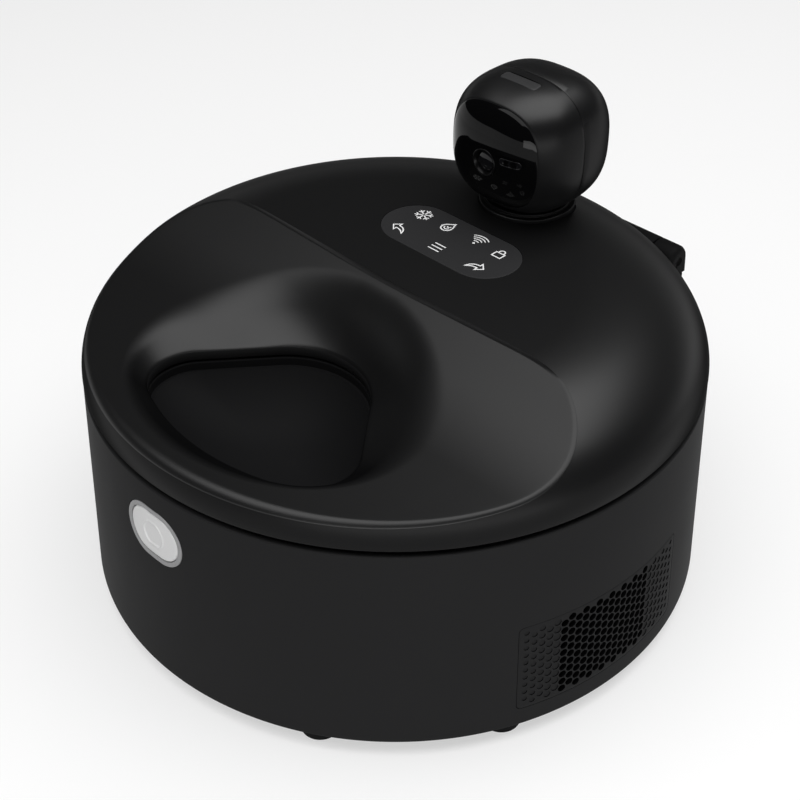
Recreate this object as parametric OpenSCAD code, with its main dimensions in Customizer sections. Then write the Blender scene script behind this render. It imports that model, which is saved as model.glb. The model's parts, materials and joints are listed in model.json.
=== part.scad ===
// Automatic wet food feeder: cooled turning tray under a hinged dome lid with a scooped opening.
// Millimetres, +Z up, front towards -Y. The origin is on the ground under the body's axis.

/* [Body] */
// Radius of the body at its bottom edge
base_r = 155; // [140:1:175]
// How much narrower the body is where it meets the lid
flare = 5; // [2:0.5:8]
// Height of the body from its bottom edge to the lid
body_h = 111; // [105:1:130]
// Wall of the body and thickness of its bottom cover
wall = 3; // [2:0.5:4]
// Height of the shadow gap between body and lid
groove = 3; // [2:0.5:4]
// Height of the rubber feet
foot_h = 8; // [5:1:15]
// Radius of a rubber foot
foot_r = 9.5; // [6:0.5:11]
// Angle of a foot to each side of its quarter's middle
foot_spread = 17; // [12:1:25]
// Turn of the pairs of feet from the middles of the quarters
foot_turn = 2.8; // [0:0.1:6]
// Radius of a screw's shank
screw_r = 1.5; // [1:0.25:2]

/* [Lid] */
// Height of the lid above the split
lid_h = 41; // [38:1:48]
// Width of the dome's round shoulder
shoulder_w = 62.5; // [56:0.5:70]
// Height of the upright rim under the dome's shoulder
rim_h = 2.6; // [2:0.1:5]
// Wall of the lid
lid_wall = 3; // [2:0.5:3.5]
// Thickness of the lid's inner cover
cover_t = 2; // [1.5:0.5:3]

/* [Scoop] */
// Distance of the sloping panel's straight back edge from the axis
panel_back = 4.8; // [3:0.1:12]
// Steepness of the panel behind the scoop, in degrees
incline = 30; // [26:1:32]
// Level run of the straight incline
incline_run = 22; // [18:1:26]
// Radius of the bend at the foot of the incline
bend_r = 90; // [80:1:100]
// Steepness left after the bend, in degrees
bend_end = 5; // [3:0.5:7]
// Radius of the long sweep to the front
sweep_r = 530; // [450:10:700]
// Thickness of the panel
panel_t = 2.5; // [2:0.25:3]
// Radius of the opening's round end near the axis
apex_r = 41; // [36:1:44]
// Middle of that round end, as a share of the way from the axis to the opening's front edge
apex_share = 0.604; // [0.58:0.002:0.63]
// Radius of the opening's front corners
corner_r = 23; // [18:1:26]
// Angle of the front corners to each side of straight ahead
corner_turn = 22.5; // [18:0.5:25]
// Distance of the opening's front edge from the tray's edge
front_margin = 6; // [4:0.5:10]
// Height of the opening's edge above the split
lip_top = 5.5; // [4:0.5:8]
// Thickness of the lip round the opening
lip_t = 2.5; // [1.5:0.25:3]
// Half the width of the soft scoop round the opening
scoop_half_w = 82; // [77:0.5:86]
// Half the depth of the scoop from front to back
scoop_half_d = 64.5; // [58:0.5:66]
// Share of the scoop's wall that is straight before it rounds off
scoop_straight = 0.5; // [0:0.05:0.8]

/* [Tray] */
// Width of the jacket between the cooled chamber and the edge of the lid
jacket_w = 19; // [17:0.5:24]
// Wall of the chamber's liner
liner_wall = 2; // [1:0.5:3]
// Gap between the food tray and the chamber's wall
tray_gap = 2.5; // [1.5:0.25:5]
// Depth of the food pockets
pocket_depth = 26; // [18:1:32]
// Wall of the food tray
tray_wall = 2.2; // [1.6:0.1:3]
// Radius of the round foot of a pocket's wall
pocket_fillet = 12; // [6:1:15]
// Drop from the split to the tray's top
tray_drop = 1; // [0.75:0.25:2]

/* [Drive] */
// Module of the gears
gear_module = 2; // [1.5:0.25:2.25]
// Teeth of the turntable's gear
wheel_teeth = 48; // [40:4:56]
// Teeth of the motor's pinion
pinion_teeth = 12; // [12:1:14]
// Width of the gears
gear_w = 6; // [4:1:8]
// Play of the gear teeth at the pitch circle
backlash = 0.3; // [0.2:0.05:0.5]
// Radius of the fixed spindle
spindle_r = 8; // [6:0.5:10]
// Radius of the drive motor
motor_r = 16; // [12:1:18]
// Radius of the motor's shaft
shaft_r = 3; // [2:0.5:4]

/* [Cooling] */
// Clear height of the bay under the chamber
bay_h = 55; // [53:1:60]
// Side of the square fan
fan_size = 50; // [40:1:50]
// Depth of the fan
fan_depth = 15; // [10:1:20]
// Direction of the grille's middle, in degrees from the right side
grille_turn = -5.8; // [-10:0.1:10]
// Angle that the grille spans
grille_span = 37.6; // [34:0.1:42]
// Height of the grille
grille_h = 49.5; // [46:0.5:52]
// Height of the grille's lower edge above the body's bottom
grille_lift = 10.5; // [8:0.5:12]
// Spacing of the grille's holes in a column
hole_pitch = 4.48; // [4:0.02:4.6]
// Radius of a grille hole
hole_r = 1.9; // [1.2:0.05:2]
// Columns of open holes
hole_cols = 14; // [8:1:16]
// Holes in a column
hole_rows = 10; // [8:1:10]
// Columns by which the open holes sit nearer the front than the grille's middle
hole_lead = 0.5; // [0:0.5:2]

/* [Controls] */
// Drop from the split to the button's middle
button_drop = 27.6; // [24:0.1:30]
// Half the straight length of the button's outline
button_half = 4.5; // [2:0.5:8]
// Radius of the button's bezel
bezel_r = 14.15; // [13:0.05:16]
// Radius of the button's cap
cap_r = 11.6; // [10:0.1:11.75]
// Travel of the button
button_travel = 2; // [1:0.25:2]
// Half the straight length of the touch panel
touch_half = 22; // [15:1:30]
// Radius of the touch panel's round ends
touch_r = 18.2; // [14:0.1:22]
// Middle of the touch panel, as a share of the way from the axis to the camera head
touch_share = 0.4; // [0.36:0.01:0.42]
// Thickness of the touch panel
touch_t = 2; // [1.5:0.5:2.5]

/* [Hinge] */
// Radius of the hinge's knuckles
knuckle_r = 8; // [6.5:0.5:8]
// Height of the hinge's axis above the split
hinge_lift = 6.5; // [6:0.5:8]
// Half the width of the hinge
hinge_half = 60; // [50:1:70]
// Width of one fixed knuckle
knuckle_w = 14; // [10:1:20]
// Radius of the hinge pin
hinge_pin_r = 2.5; // [1.5:0.25:3]

/* [Camera] */
// Half the width of the camera head
head_a = 35; // [32:0.5:38]
// Half the depth of the camera head
head_b = 34.3; // [32:0.1:38]
// Half the height of the camera head
head_c = 33.5; // [32:0.5:35]
// Squareness of the head: 2 is an ellipsoid, more is boxier
head_power = 2.72; // [2.3:0.02:3.2]
// Distance of the head in front of the hinge's axis
head_front = 53; // [50:0.5:57]
// Gap between the lid's flat top and the head's lowest point
head_gap = 2; // [1.5:0.5:5]
// Wall of the head's shells
head_wall = 2; // [1.5:0.25:2.5]
// Distance of the shells' seam in front of the head's middle
seam_front = 1.5; // [0:0.5:4]
// Distance of the window's edge in front of the head's middle
window_front = 26.7; // [24:0.1:29]
// Radius of the collar under the head
collar_r = 24.5; // [23:0.5:27]
// Radius of the spindle that turns the head
neck_r = 10; // [8:0.5:11]
// Outer radius of the lens ring
lens_ring_r = 7; // [5:0.5:8]

/* [Clearances] */
// Radial play of a running fit
running = 0.05; // [0.02:0.01:0.08]
// Gap between pieces that are pushed or clipped together
seat = 0.3; // [0.2:0.05:0.4]

/* [Hidden] */
$fn = 96;
far = 400;

// Radii that follow the body's
split_r = base_r - flare;
flat_r = split_r - shoulder_w;
chamber_r = split_r - jacket_w;
tray_r = chamber_r - tray_gap;

// Heights of the body, from the ground up
cover_z = foot_h + wall;
floor_z = cover_z + bay_h;
split_z = foot_h + body_h;
rim_z = split_z - groove / 2;
flange_t = 2;
flange_z = split_z - 4;
ledge_t = 3;
ledge_z = flange_z - flange_t;
ledge_w = 4;
function body_r(z) = base_r + (split_r - base_r) * (z - foot_h) / body_h;
flange_r = body_r(flange_z) - wall - 2 * seat;
ledge_r = flange_r - ledge_w;

// Feet, bosses and screws of the bottom
foot_ring = base_r - foot_r - wall - 0.5;
bottom_r = body_r(cover_z) - wall - seat;
boss_r = 5;
boss_ring = bottom_r - 11.5;
boss_h = 19;
boss_angles = [45, 135, 225, 315];
screw_head_r = 2 * screw_r;
screw_head_h = 1.2 * screw_r;
screw_len = 14;
screw_fit = 0.05;

// Drive, from the chamber's floor up
chamber_floor = floor_z + liner_wall;
spindle_flange_h = 3;
spindle_flange_r = spindle_r + 8;
washer_t = 1;
wheel_z = chamber_floor + spindle_flange_h + washer_t;
plate_t = 2;
plate_r = gear_module * wheel_teeth / 2 + 8;
tray_bottom = wheel_z + gear_w + plate_t;
tray_top = split_z - tray_drop;
hub_r = spindle_r + 6;
hub_h = 14;
column_r = hub_r + 4;
gear_distance = gear_module * (wheel_teeth + pinion_teeth) / 2;
pressure_angle = 25;
motor_len = 40;
shaft_depth = 10;

// Cooling parts, in a frame turned to face the grille
grille_r = body_r(foot_h + grille_lift + grille_h / 2);
grille_z = foot_h + grille_lift;
fan_x = grille_r - 35;
fan_z = floor_z - 0.5 - fan_size / 2;
fan_bore_r = fan_size / 2 - 1.5;
rotor_r = fan_bore_r - 1;
rotor_pin_r = 2;
sink_len = 46;
sink_w = 48;
sink_x = fan_x - 4 - sink_len;
plate_h = 5;
module_h = 4;
module_side = 40;
sink_base_h = 4;
fin_count = 10;
fin_t = 1.5;

// Button and its switch
button_z = split_z - button_drop;
board_t = 1.6;
switch_back = chamber_r + liner_wall + 0.5;
switch_front = switch_back + board_t;
cap_back = switch_front + 10;
stem_r = 2.5;
spring_r = stem_r + 1.7;
spring_wire = 1;
switch_h = 2.5;

// Hinge
hinge_y = base_r - knuckle_r;
hinge_z = split_z + hinge_lift;
arm_half = hinge_half - knuckle_w - 0.4;
bracket_in_r = body_r(rim_z) - wall + seat;
bracket_top = hinge_z - knuckle_r - 1;
bracket_bottom = bracket_top - 17;
bracket_d = 28;

// Lid
lid_top = split_z + lid_h;
cover_bottom = split_z + seat;
cover_top = cover_bottom + cover_t;
cover_r = split_r - lid_wall - seat;
cover_back = hinge_y - knuckle_r - 1;
seal_in = chamber_r + 3;
seal_out = seal_in + 5;
lid_boss_r = 4;
lid_boss_ring = split_r - 27;
lid_bosses = [for (a = [11.5, 55, 125, 168.5]) lid_boss_ring * [cos(a), sin(a)]];
boss_bite = 1;
magnet_r = 2.5;
magnet_x = 22;
magnet_ring = (seal_out + flange_r) / 2;
magnet_h = 3;

// Sloping panel: a straight incline, a bend and a long sweep, seen from the side
slope_y1 = -panel_back - incline_run;
slope_z1 = lid_h - incline_run * tan(incline);
bend_cy = slope_y1 - bend_r * sin(incline);
bend_cz = slope_z1 + bend_r * cos(incline);
slope_y2 = bend_cy + bend_r * sin(bend_end);
slope_z2 = bend_cz - bend_r * cos(bend_end);
sweep_cy = slope_y2 - sweep_r * sin(bend_end);
sweep_cz = slope_z2 + sweep_r * cos(bend_end);
function slope_z(y) =
    y > slope_y1 ? slope_z1 + (y - slope_y1) * tan(incline)
    : y > slope_y2 ? bend_cz - sqrt(bend_r * bend_r - pow(y - bend_cy, 2))
    : sweep_cz - sqrt(sweep_r * sweep_r - pow(y - sweep_cy, 2));

// Height of the dome above the split at a distance from the axis
function dome_z(r) =
    let (u = (r - flat_r) / (split_r - flat_r))
    r <= flat_r ? lid_h
    : r >= split_r ? rim_h - far * (r - split_r)
    : rim_h + (lid_h - rim_h) * sqrt(1 - u * u);

// Outline of the opening, as rays from the middle of its round end
front_r = tray_r - front_margin;
eye = [0, -apex_share * front_r];
corner = (front_r - corner_r) * [sin(corner_turn), -cos(corner_turn)];
side_turn = atan2(corner[1] - eye[1], corner[0])
    + 90 - asin((apex_r - corner_r) / norm(corner - eye));
function heading(a) = [cos(a), sin(a)];
function angle_of(p) = atan2(p[1] - eye[1], p[0] - eye[0]);
function ray_to_circle(d, m, r) =
    let (w = eye - m, b = w * d)
    sqrt(b * b - w * w + r * r) - b;
function folded(a) = cos(a) < 0 ? asin(sin(a)) : atan2(sin(a), cos(a));
function opening_ray(a, grow) =
    let (f = folded(a))
    let (side_end = angle_of(corner + (corner_r + grow) * heading(side_turn)))
    let (front_end = angle_of(corner + (corner_r + grow) * corner / norm(corner)))
    f >= side_turn ? apex_r + grow
    : f >= side_end ? (apex_r + grow) / cos(f - side_turn)
    : f >= front_end ? ray_to_circle(heading(f), corner, corner_r + grow)
    : ray_to_circle(heading(f), [0, 0], front_r + grow);
function opening_outline(grow, rays) =
    [for (i = [0 : rays - 1]) let (a = 360 * i / rays) eye + opening_ray(a, grow) * heading(a)];

// Outer edge of the sloping panel: where it leaves the dome or meets its straight back edge
function outside(p, drop) =
    max(slope_z(p[1]) - drop - dome_z(norm(p)), p[1] + panel_back);
function panel_ray(a, drop, near = 30, away = 180, step = 0) =
    let (mid = (near + away) / 2)
    step > 24 ? mid
    : outside(eye + mid * heading(a), drop) > 0 ? panel_ray(a, drop, near, mid, step + 1)
    : panel_ray(a, drop, mid, away, step + 1);

// Height of the panel's top: the slope, drawn down softly to the opening's edge
function scoop_ray(a) = 1 / norm([cos(a) / scoop_half_w, sin(a) / scoop_half_d]);
function scoop_share(d, reach) =
    let (u = min(1, d / reach), s = scoop_straight)
    u < s ? 2 * u / (1 + s) : 1 - (1 - u) * (1 - u) / (1 - s * s);
function scoop_z(p, d, reach) = lip_top + (slope_z(p[1]) - lip_top) * scoop_share(d, reach);

// Camera head
head_y = hinge_y - head_front;
touch_y = touch_share * head_y;
head_z = lid_top + head_gap + head_c;
head_seam = head_y - seam_front;
window_y = head_y - window_front;
head_sides = 64;
lens_z = head_z - 1.5;
lens_r = lens_ring_r - 1.8;
head_face = head_y - head_b;
head_board_y = head_y - 7;
head_board_side = 40;
sensor_x = 15;
sensor_z = head_z + 2.5;
sensor_half = 3.8;
sensor_r = 2;
strip_w = 22;
strip_d = 6;
strip_y = head_y - 10;
collar_top = lid_top + head_gap + 1.5;
collar_step = 2.5;
collar_bottom = lid_top - 8;
collar_bore = collar_r - 5;
collar_floor = 4;
neck_bottom = collar_bottom - 7;
pan_motor_r = 14;
pan_motor_z = cover_top + 4;
pan_motor_top = neck_bottom - 1;
pan_shaft_r = 2.5;
pan_seat_r = pan_motor_r + 2;

function signed_power(v, e) = sign(v) * pow(abs(v), e);
// One ring of the head, square to Y, at a turn t from the middle (-90 front to 90 back)
function head_ring(t, inset) =
    let (e = 2 / head_power)
    let (y = head_y + (head_b - inset) * signed_power(sin(t), e))
    let (s = pow(cos(t), e))
    [for (i = [0 : head_sides - 1]) let (a = 360 * i / head_sides)
        [(head_a - inset) * s * signed_power(cos(a), e), y,
         head_z + (head_c - inset) * s * signed_power(sin(a), e)]];
// The turn at which a ring lies at a given Y
function head_turn(y, inset) =
    let (v = (y - head_y) / (head_b - inset))
    asin(signed_power(v, head_power / 2));

// Solid skin over rings of points; looped joins the last ring to the first
module skin(rings, looped = false) {
    n = len(rings[0]);
    m = len(rings);
    sides = [for (i = [0 : m - (looped ? 1 : 2)]) for (j = [0 : n - 1])
        let (k = (i + 1) % m, l = (j + 1) % n)
        each [[i * n + j, i * n + l, k * n + l], [i * n + j, k * n + l, k * n + j]]];
    ends = looped ? [] : [[for (j = [n - 1 : -1 : 0]) j], [for (j = [0 : n - 1]) (m - 1) * n + j]];
    polyhedron(points = [for (r = rings) each r], faces = concat(sides, ends), convexity = 6);
}

module stadium(half, r) {
    square([2 * half, 2 * r], center = true);
    for (s = [-1, 1]) translate([s * half, 0]) circle(r);
}

module tube(outer, inner, h) difference() {
    cylinder(r = outer, h = h);
    translate([0, 0, -1]) cylinder(r = inner, h = h + 2);
}

// A stadium outline pushed forward from y = -back to y = -front on the button's axis
module button_prism(r, back, front)
    translate([0, -back, button_z]) rotate([90, 0, 0])
        linear_extrude(front - back) stadium(button_half, r);

// Rod along Y between two places
module rod_y(r, x, z, y0, y1)
    translate([x, y0, z]) rotate([-90, 0, 0]) cylinder(r = r, h = y1 - y0);

// Rod along X between two places
module rod_x(r, y, z, x0, x1)
    translate([x0, y, z]) rotate([0, 90, 0]) cylinder(r = r, h = x1 - x0);

// Whole outer form of the body without hollows
module solid_body(grow)
    rotate_extrude($fn = 180) polygon([
        [0, foot_h], [body_r(foot_h) + grow, foot_h], [body_r(split_z) + grow, split_z], [0, split_z]
    ]);

// Curved slab in the body's wall where the grille sits, from a depth inside to a height outside
module grille_sector(inset, depth, proud)
    rotate([0, 0, grille_turn - grille_span / 2 + inset * 180 / PI / grille_r])
        rotate_extrude(angle = grille_span - 2 * inset * 180 / PI / grille_r, $fn = 180)
            polygon([for (z = [grille_z + inset, grille_z + grille_h - inset]) each
                (z < grille_z + grille_h / 2
                    ? [[body_r(z) - depth, z], [body_r(z) + proud, z]]
                    : [[body_r(z) + proud, z], [body_r(z) - depth, z]])]);

// Block of the hinge behind the body's wall, up to a given height
module hinge_block(in_r, top)
    difference() {
        translate([-hinge_half, base_r - bracket_d, bracket_bottom])
            cube([2 * hinge_half, bracket_d, top - bracket_bottom]);
        translate([0, 0, bracket_bottom - 1])
            cylinder(r = in_r, h = top - bracket_bottom + 2, $fn = 180);
    }

module outer_shell() color("#3b3b3d") difference() {
    union() {
        rotate_extrude($fn = 180) polygon([
            [body_r(foot_h), foot_h], [body_r(rim_z), rim_z], [body_r(rim_z) - wall, rim_z],
            [body_r(ledge_z) - wall, ledge_z], [ledge_r, ledge_z], [ledge_r, ledge_z - ledge_t],
            [body_r(ledge_z - ledge_t) - wall, ledge_z - ledge_t], [body_r(foot_h) - wall, foot_h]
        ]);
        for (a = boss_angles) rotate([0, 0, a]) translate([boss_ring, 0, cover_z]) {
            cylinder(r = boss_r, h = boss_h);
            translate([0, -wall / 2, 0])
                cube([body_r(cover_z + boss_h) - wall / 2 - boss_ring, wall, boss_h]);
        }
    }
    for (a = boss_angles) rotate([0, 0, a]) translate([boss_ring, 0, cover_z - 1])
        cylinder(r = screw_r + screw_fit, h = boss_h);
    button_prism(bezel_r + seat, split_r - 15, base_r + 10);
    grille_sector(0, wall + 2, 5);
    rod_y(inlet_r + seat, 0, inlet_z, split_r - 15, base_r + 10);
    hinge_block(bracket_in_r - seat, split_z);
    for (s = [-1, 1]) translate([s * magnet_x, -magnet_seat_y(), ledge_z - magnet_h - 1])
        cylinder(r = magnet_r + seat / 2, h = magnet_h + 2);
}

module bottom_cover() color("#2b2b2d") {
    difference() {
        union() {
            translate([0, 0, foot_h]) cylinder(r = bottom_r, h = wall, $fn = 180);
            rotate([0, 0, grille_turn]) translate([fan_x, -fan_size / 2, foot_h + 1])
                cube([fan_depth, fan_size, fan_z - fan_size / 2 - foot_h - 1]);
            for (p = board_posts) translate([p[0], p[1], foot_h + 1])
                cylinder(r = 3, h = cover_z + board_lift - foot_h - 1);
        }
        for (a = boss_angles) rotate([0, 0, a]) translate([boss_ring, 0, foot_h - 1]) {
            cylinder(r = screw_r + seat, h = wall + 2);
            cylinder(r = screw_head_r + seat, h = 1 + screw_head_h);
        }
        for (i = [-4 : 4]) rotate([0, 0, grille_turn]) translate([sink_x + 4, 5 * i - 1, foot_h - 1])
            cube([sink_len - 8, 2, wall + 2]);
    }
}

module rubber_feet() color("#1c1c1c")
    for (a = boss_angles) for (s = [-1, 1]) rotate([0, 0, a + foot_turn + s * foot_spread])
        translate([foot_ring, 0, 0]) rotate_extrude() polygon([
            [0, 0], [foot_r - 1.5, 0], [foot_r, 1.5], [foot_r, foot_h], [0, foot_h]
        ]);

module bottom_screws() color("silver")
    for (a = boss_angles) rotate([0, 0, a]) translate([boss_ring, 0, foot_h]) {
        cylinder(r = screw_head_r, h = screw_head_h);
        cylinder(r = screw_r, h = screw_len);
    }

module side_grille() color("#333335") difference() {
    grille_sector(seat, wall, 0);
    for (c = [0 : hole_cols - 1]) for (r = [0 : hole_rows - 1])
        let (shift = (c - (hole_cols - 1) / 2 - hole_lead) * hole_pitch * sqrt(3) / 2)
        let (rise = (r - (hole_rows - 1) / 2 + (c % 2) / 2 - 0.25) * hole_pitch)
        rotate([0, 0, grille_turn + shift * 180 / PI / grille_r])
            rod_x(hole_r, 0, grille_z + grille_h / 2 + rise, grille_r - 3 * wall, grille_r + 2 * wall);
}

// How far forward of the axis the closing magnets sit
function magnet_seat_y() = sqrt(magnet_ring * magnet_ring - magnet_x * magnet_x);

module inner_liner() color("#c9ccd0") difference() {
    rotate_extrude($fn = 180) polygon([
        [0, floor_z], [chamber_r + liner_wall, floor_z], [chamber_r + liner_wall, flange_z - flange_t],
        [flange_r, flange_z - flange_t], [flange_r, flange_z], [chamber_r, flange_z],
        [chamber_r, chamber_floor], [0, chamber_floor]
    ]);
    translate([-gear_distance, 0, floor_z - 1]) cylinder(r = shaft_r + 2, h = liner_wall + 2);
    for (s = [-1, 1]) translate([s * magnet_x, -magnet_seat_y(), ledge_z - 1])
        cylinder(r = magnet_r + seat / 2, h = flange_t + 2);
}

module insulation() color("#e8e4d8") difference() {
    translate([0, 0, chamber_floor]) tube(bracket_in_r - 2 * seat, chamber_r + liner_wall + seat,
        ledge_z - ledge_t - seat - chamber_floor, $fn = 180);
    translate([-button_half - bezel_r - 2, -far, button_z - bezel_r - 2])
        cube([2 * (button_half + bezel_r + 2), far, 2 * (bezel_r + 2)]);
}

module cold_plate() color("#b9bdc2") rotate([0, 0, grille_turn])
    translate([sink_x, -sink_w / 2, floor_z - plate_h]) cube([sink_len, sink_w, plate_h]);

module thermo_module() color("#f2f2ee") rotate([0, 0, grille_turn])
    translate([sink_x + (sink_len - module_side) / 2, -module_side / 2, floor_z - plate_h - module_h])
        cube([module_side, module_side, module_h]);

module heat_sink() color("#9aa0a6") rotate([0, 0, grille_turn])
    translate([sink_x, 0, 0]) {
        base_z = floor_z - plate_h - module_h - sink_base_h;
        pitch = (sink_w - fin_t) / (fin_count - 1);
        translate([0, -sink_w / 2, base_z]) cube([sink_len, sink_w, sink_base_h]);
        for (i = [0 : fin_count - 1]) translate([0, -sink_w / 2 + i * pitch, cover_z + 3])
            cube([sink_len, fin_t, base_z - cover_z - 3]);
    }

module fan_frame() color("#1b1b1c") rotate([0, 0, grille_turn]) {
    difference() {
        translate([fan_x, -fan_size / 2, fan_z - fan_size / 2]) cube([fan_depth, fan_size, fan_size]);
        rod_x(fan_bore_r, 0, fan_z, fan_x - 1, fan_x + fan_depth + 1);
    }
    rod_x(10, 0, fan_z, fan_x, fan_x + 2);
    for (a = [0, 120, 240]) translate([fan_x, 0, fan_z]) rotate([a, 0, 0])
        translate([0, -1.5, 0]) cube([2, 3, fan_bore_r + 0.5]);
    rod_x(rotor_pin_r, 0, fan_z, fan_x, fan_x + fan_depth - 3);
}

module fan_rotor() color("#26262a") rotate([0, 0, grille_turn]) difference() {
    union() {
        rod_x(9, 0, fan_z, fan_x + 3, fan_x + fan_depth - 2);
        intersection() {
            translate([fan_x + 3, 0, fan_z]) rotate([0, 90, 0])
                tube(rotor_r, 8, fan_depth - 5);
            union() for (i = [0 : 6]) translate([fan_x + fan_depth / 2 + 0.5, 0, fan_z])
                rotate([360 * i / 7, 0, 0]) rotate([0, 0, 35])
                    translate([-9, -0.6, 8.5]) cube([18, 1.2, rotor_r]);
        }
    }
    rod_x(rotor_pin_r + running, 0, fan_z, fan_x, fan_x + fan_depth - 2.5);
}

// Control board on posts of the bottom cover
board_size = [96, 60];
board_at = [-44, -112];
board_lift = 6;
// Components of the control board: place on the board, then size
board_blocks = [[8, 8, 14, 14, 2], [34, 14, 20, 20, 2.5], [66, 10, 18, 12, 9]];
capacitors = [16, 32, 48];
capacitor_y = 48;
capacitor_r = 4;
capacitor_h = 12;
board_posts = [for (u = [0.06, 0.94]) for (v = [0.1, 0.9])
    [board_at[0] + u * board_size[0], board_at[1] + v * board_size[1]]];

module control_board() color("#1f5a34") translate([board_at[0], board_at[1], cover_z + board_lift]) {
    cube([board_size[0], board_size[1], board_t]);
    for (b = board_blocks) translate([b[0], b[1], board_t]) cube([b[2], b[3], b[4]]);
    for (x = capacitors) translate([x, capacitor_y, board_t]) cylinder(r = capacitor_r, h = capacitor_h);
}

// Power inlet through the rear wall
inlet_r = 5;
inlet_z = foot_h + 18;
inlet_bore_r = 2.75;

module power_inlet() color("#111111") {
    difference() {
        union() {
            translate([-7, split_r - 18, inlet_z - 6]) cube([14, 12, 12]);
            rod_y(inlet_r, 0, inlet_z, split_r - 7, body_r(inlet_z) - 0.5);
        }
        rod_y(inlet_bore_r, 0, inlet_z, body_r(inlet_z) - 10, base_r + 5);
    }
    rod_y(1, 0, inlet_z, body_r(inlet_z) - 11, body_r(inlet_z) - 2);
}

module drive_motor() color("#8d9094") translate([-gear_distance, 0, 0]) difference() {
    union() {
        translate([0, 0, floor_z - motor_len]) cylinder(r = motor_r, h = motor_len - 12);
        translate([-motor_r - 2, -motor_r, floor_z - 12]) cube([2 * motor_r + 4, 2 * motor_r, 12]);
    }
    translate([0, 0, floor_z - shaft_depth - 1]) cylinder(r = shaft_r + running, h = shaft_depth + 2);
}

// Gear outline with involute flanks
function involute_turn(r, base) = let (t = sqrt(max(0, r * r / base / base - 1))) t * 180 / PI - atan(t);
function gear_points(teeth) =
    let (pitch = gear_module * teeth / 2)
    let (base = pitch * cos(pressure_angle))
    let (root = pitch - 1.25 * gear_module)
    let (tip = pitch + gear_module)
    let (half = 90 / teeth - backlash / 4 * 180 / PI / pitch + involute_turn(pitch, base))
    let (start = max(base, root))
    let (flank = [for (i = [0 : 4]) start + (tip - start) * i / 4])
    [for (k = [0 : teeth - 1]) let (m = 360 * k / teeth) each concat(
        [root * heading(m - half)],
        [for (r = flank) r * heading(m - half + involute_turn(r, base))],
        [for (i = [4 : -1 : 0]) flank[i] * heading(m + half - involute_turn(flank[i], base))],
        [root * heading(m + half)])];

module motor_pinion() color("#d8d4c4") translate([-gear_distance, 0, 0]) {
    translate([0, 0, wheel_z]) rotate([0, 0, 180 / pinion_teeth * (1 + wheel_teeth % 2)])
        linear_extrude(gear_w - seat) polygon(gear_points(pinion_teeth));
    translate([0, 0, floor_z - shaft_depth])
        cylinder(r = shaft_r, h = wheel_z + gear_w - seat - floor_z + shaft_depth);
}

module spindle() color("#b0b4b8") translate([0, 0, chamber_floor]) {
    cylinder(r = spindle_flange_r, h = spindle_flange_h);
    cylinder(r = spindle_r, h = spindle_flange_h + washer_t + gear_w + hub_h - 3);
}

module thrust_washer() color("#e6e0c8")
    translate([0, 0, wheel_z - washer_t]) tube(spindle_flange_r - 1, spindle_r + running, washer_t);

module turntable() color("#e2ded0") difference() {
    union() {
        translate([0, 0, wheel_z]) linear_extrude(gear_w) polygon(gear_points(wheel_teeth));
        translate([0, 0, wheel_z + gear_w]) cylinder(r = plate_r, h = plate_t);
        translate([0, 0, wheel_z]) cylinder(r = hub_r, h = gear_w + hub_h);
    }
    translate([0, 0, wheel_z - 1]) cylinder(r = spindle_r + running, h = gear_w + hub_h - 1);
}

// Food pockets sit a quarter turn apart; the fourth quarter is closed
pocket_turns = [0, 90, 270];
pocket_rays = 48;

// Inside of a pocket: upright at the top, with a round foot
function pocket_ring(inset, z) = [for (p = opening_outline(-inset, pocket_rays)) [p[0], p[1], z]];
module pocket_space() {
    floor_h = tray_top - pocket_depth;
    skin(concat(
        [pocket_ring(0, tray_top + 1)],
        [for (a = [90 : -15 : 0])
            pocket_ring(pocket_fillet * (1 - sin(a)), floor_h + pocket_fillet * (1 - cos(a)))]));
}

module food_tray() color("#4a4b4e") difference() {
    union() {
        translate([0, 0, tray_top - tray_wall]) cylinder(r = tray_r, h = tray_wall, $fn = 180);
        translate([0, 0, tray_bottom]) cylinder(r = column_r, h = tray_top - tray_wall - tray_bottom);
        translate([0, 0, tray_top - 12]) tube(tray_r, tray_r - tray_wall, 12 - tray_wall, $fn = 180);
        for (a = pocket_turns) rotate([0, 0, a])
            translate([0, 0, tray_top - pocket_depth - tray_wall])
                linear_extrude(pocket_depth) polygon(opening_outline(tray_wall, pocket_rays));
    }
    for (a = pocket_turns) rotate([0, 0, a]) pocket_space();
    translate([0, 0, tray_bottom - 1]) cylinder(r = hub_r + seat, h = hub_h - plate_t + 1 + seat);
}

module button_bezel() color("#8e8e90") difference() {
    union() {
        intersection() {
            button_prism(bezel_r, cap_back + 1, base_r + 10);
            solid_body(seat);
        }
        button_prism(bezel_r - 0.7, switch_front, cap_back + 1.5);
    }
    button_prism(cap_r + seat, switch_front - 1, base_r + 20);
}

module button_cap() color("#d6d6d8") {
    intersection() {
        button_prism(cap_r, cap_back, base_r + 10);
        solid_body(0.8);
    }
    rod_y(stem_r, 0, button_z, -cap_back, -switch_front - switch_h - button_travel - 0.4);
}

module button_spring() color("silver")
    translate([0, -switch_front, button_z]) rotate([90, 0, 0])
        tube(spring_r, spring_r - spring_wire, cap_back - switch_front);

module switch_board() color("#1f5a34") {
    button_prism(bezel_r - 0.7, switch_back, switch_front);
    rod_y(stem_r - 0.5, 0, button_z, -switch_front - switch_h, -switch_front);
}

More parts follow.
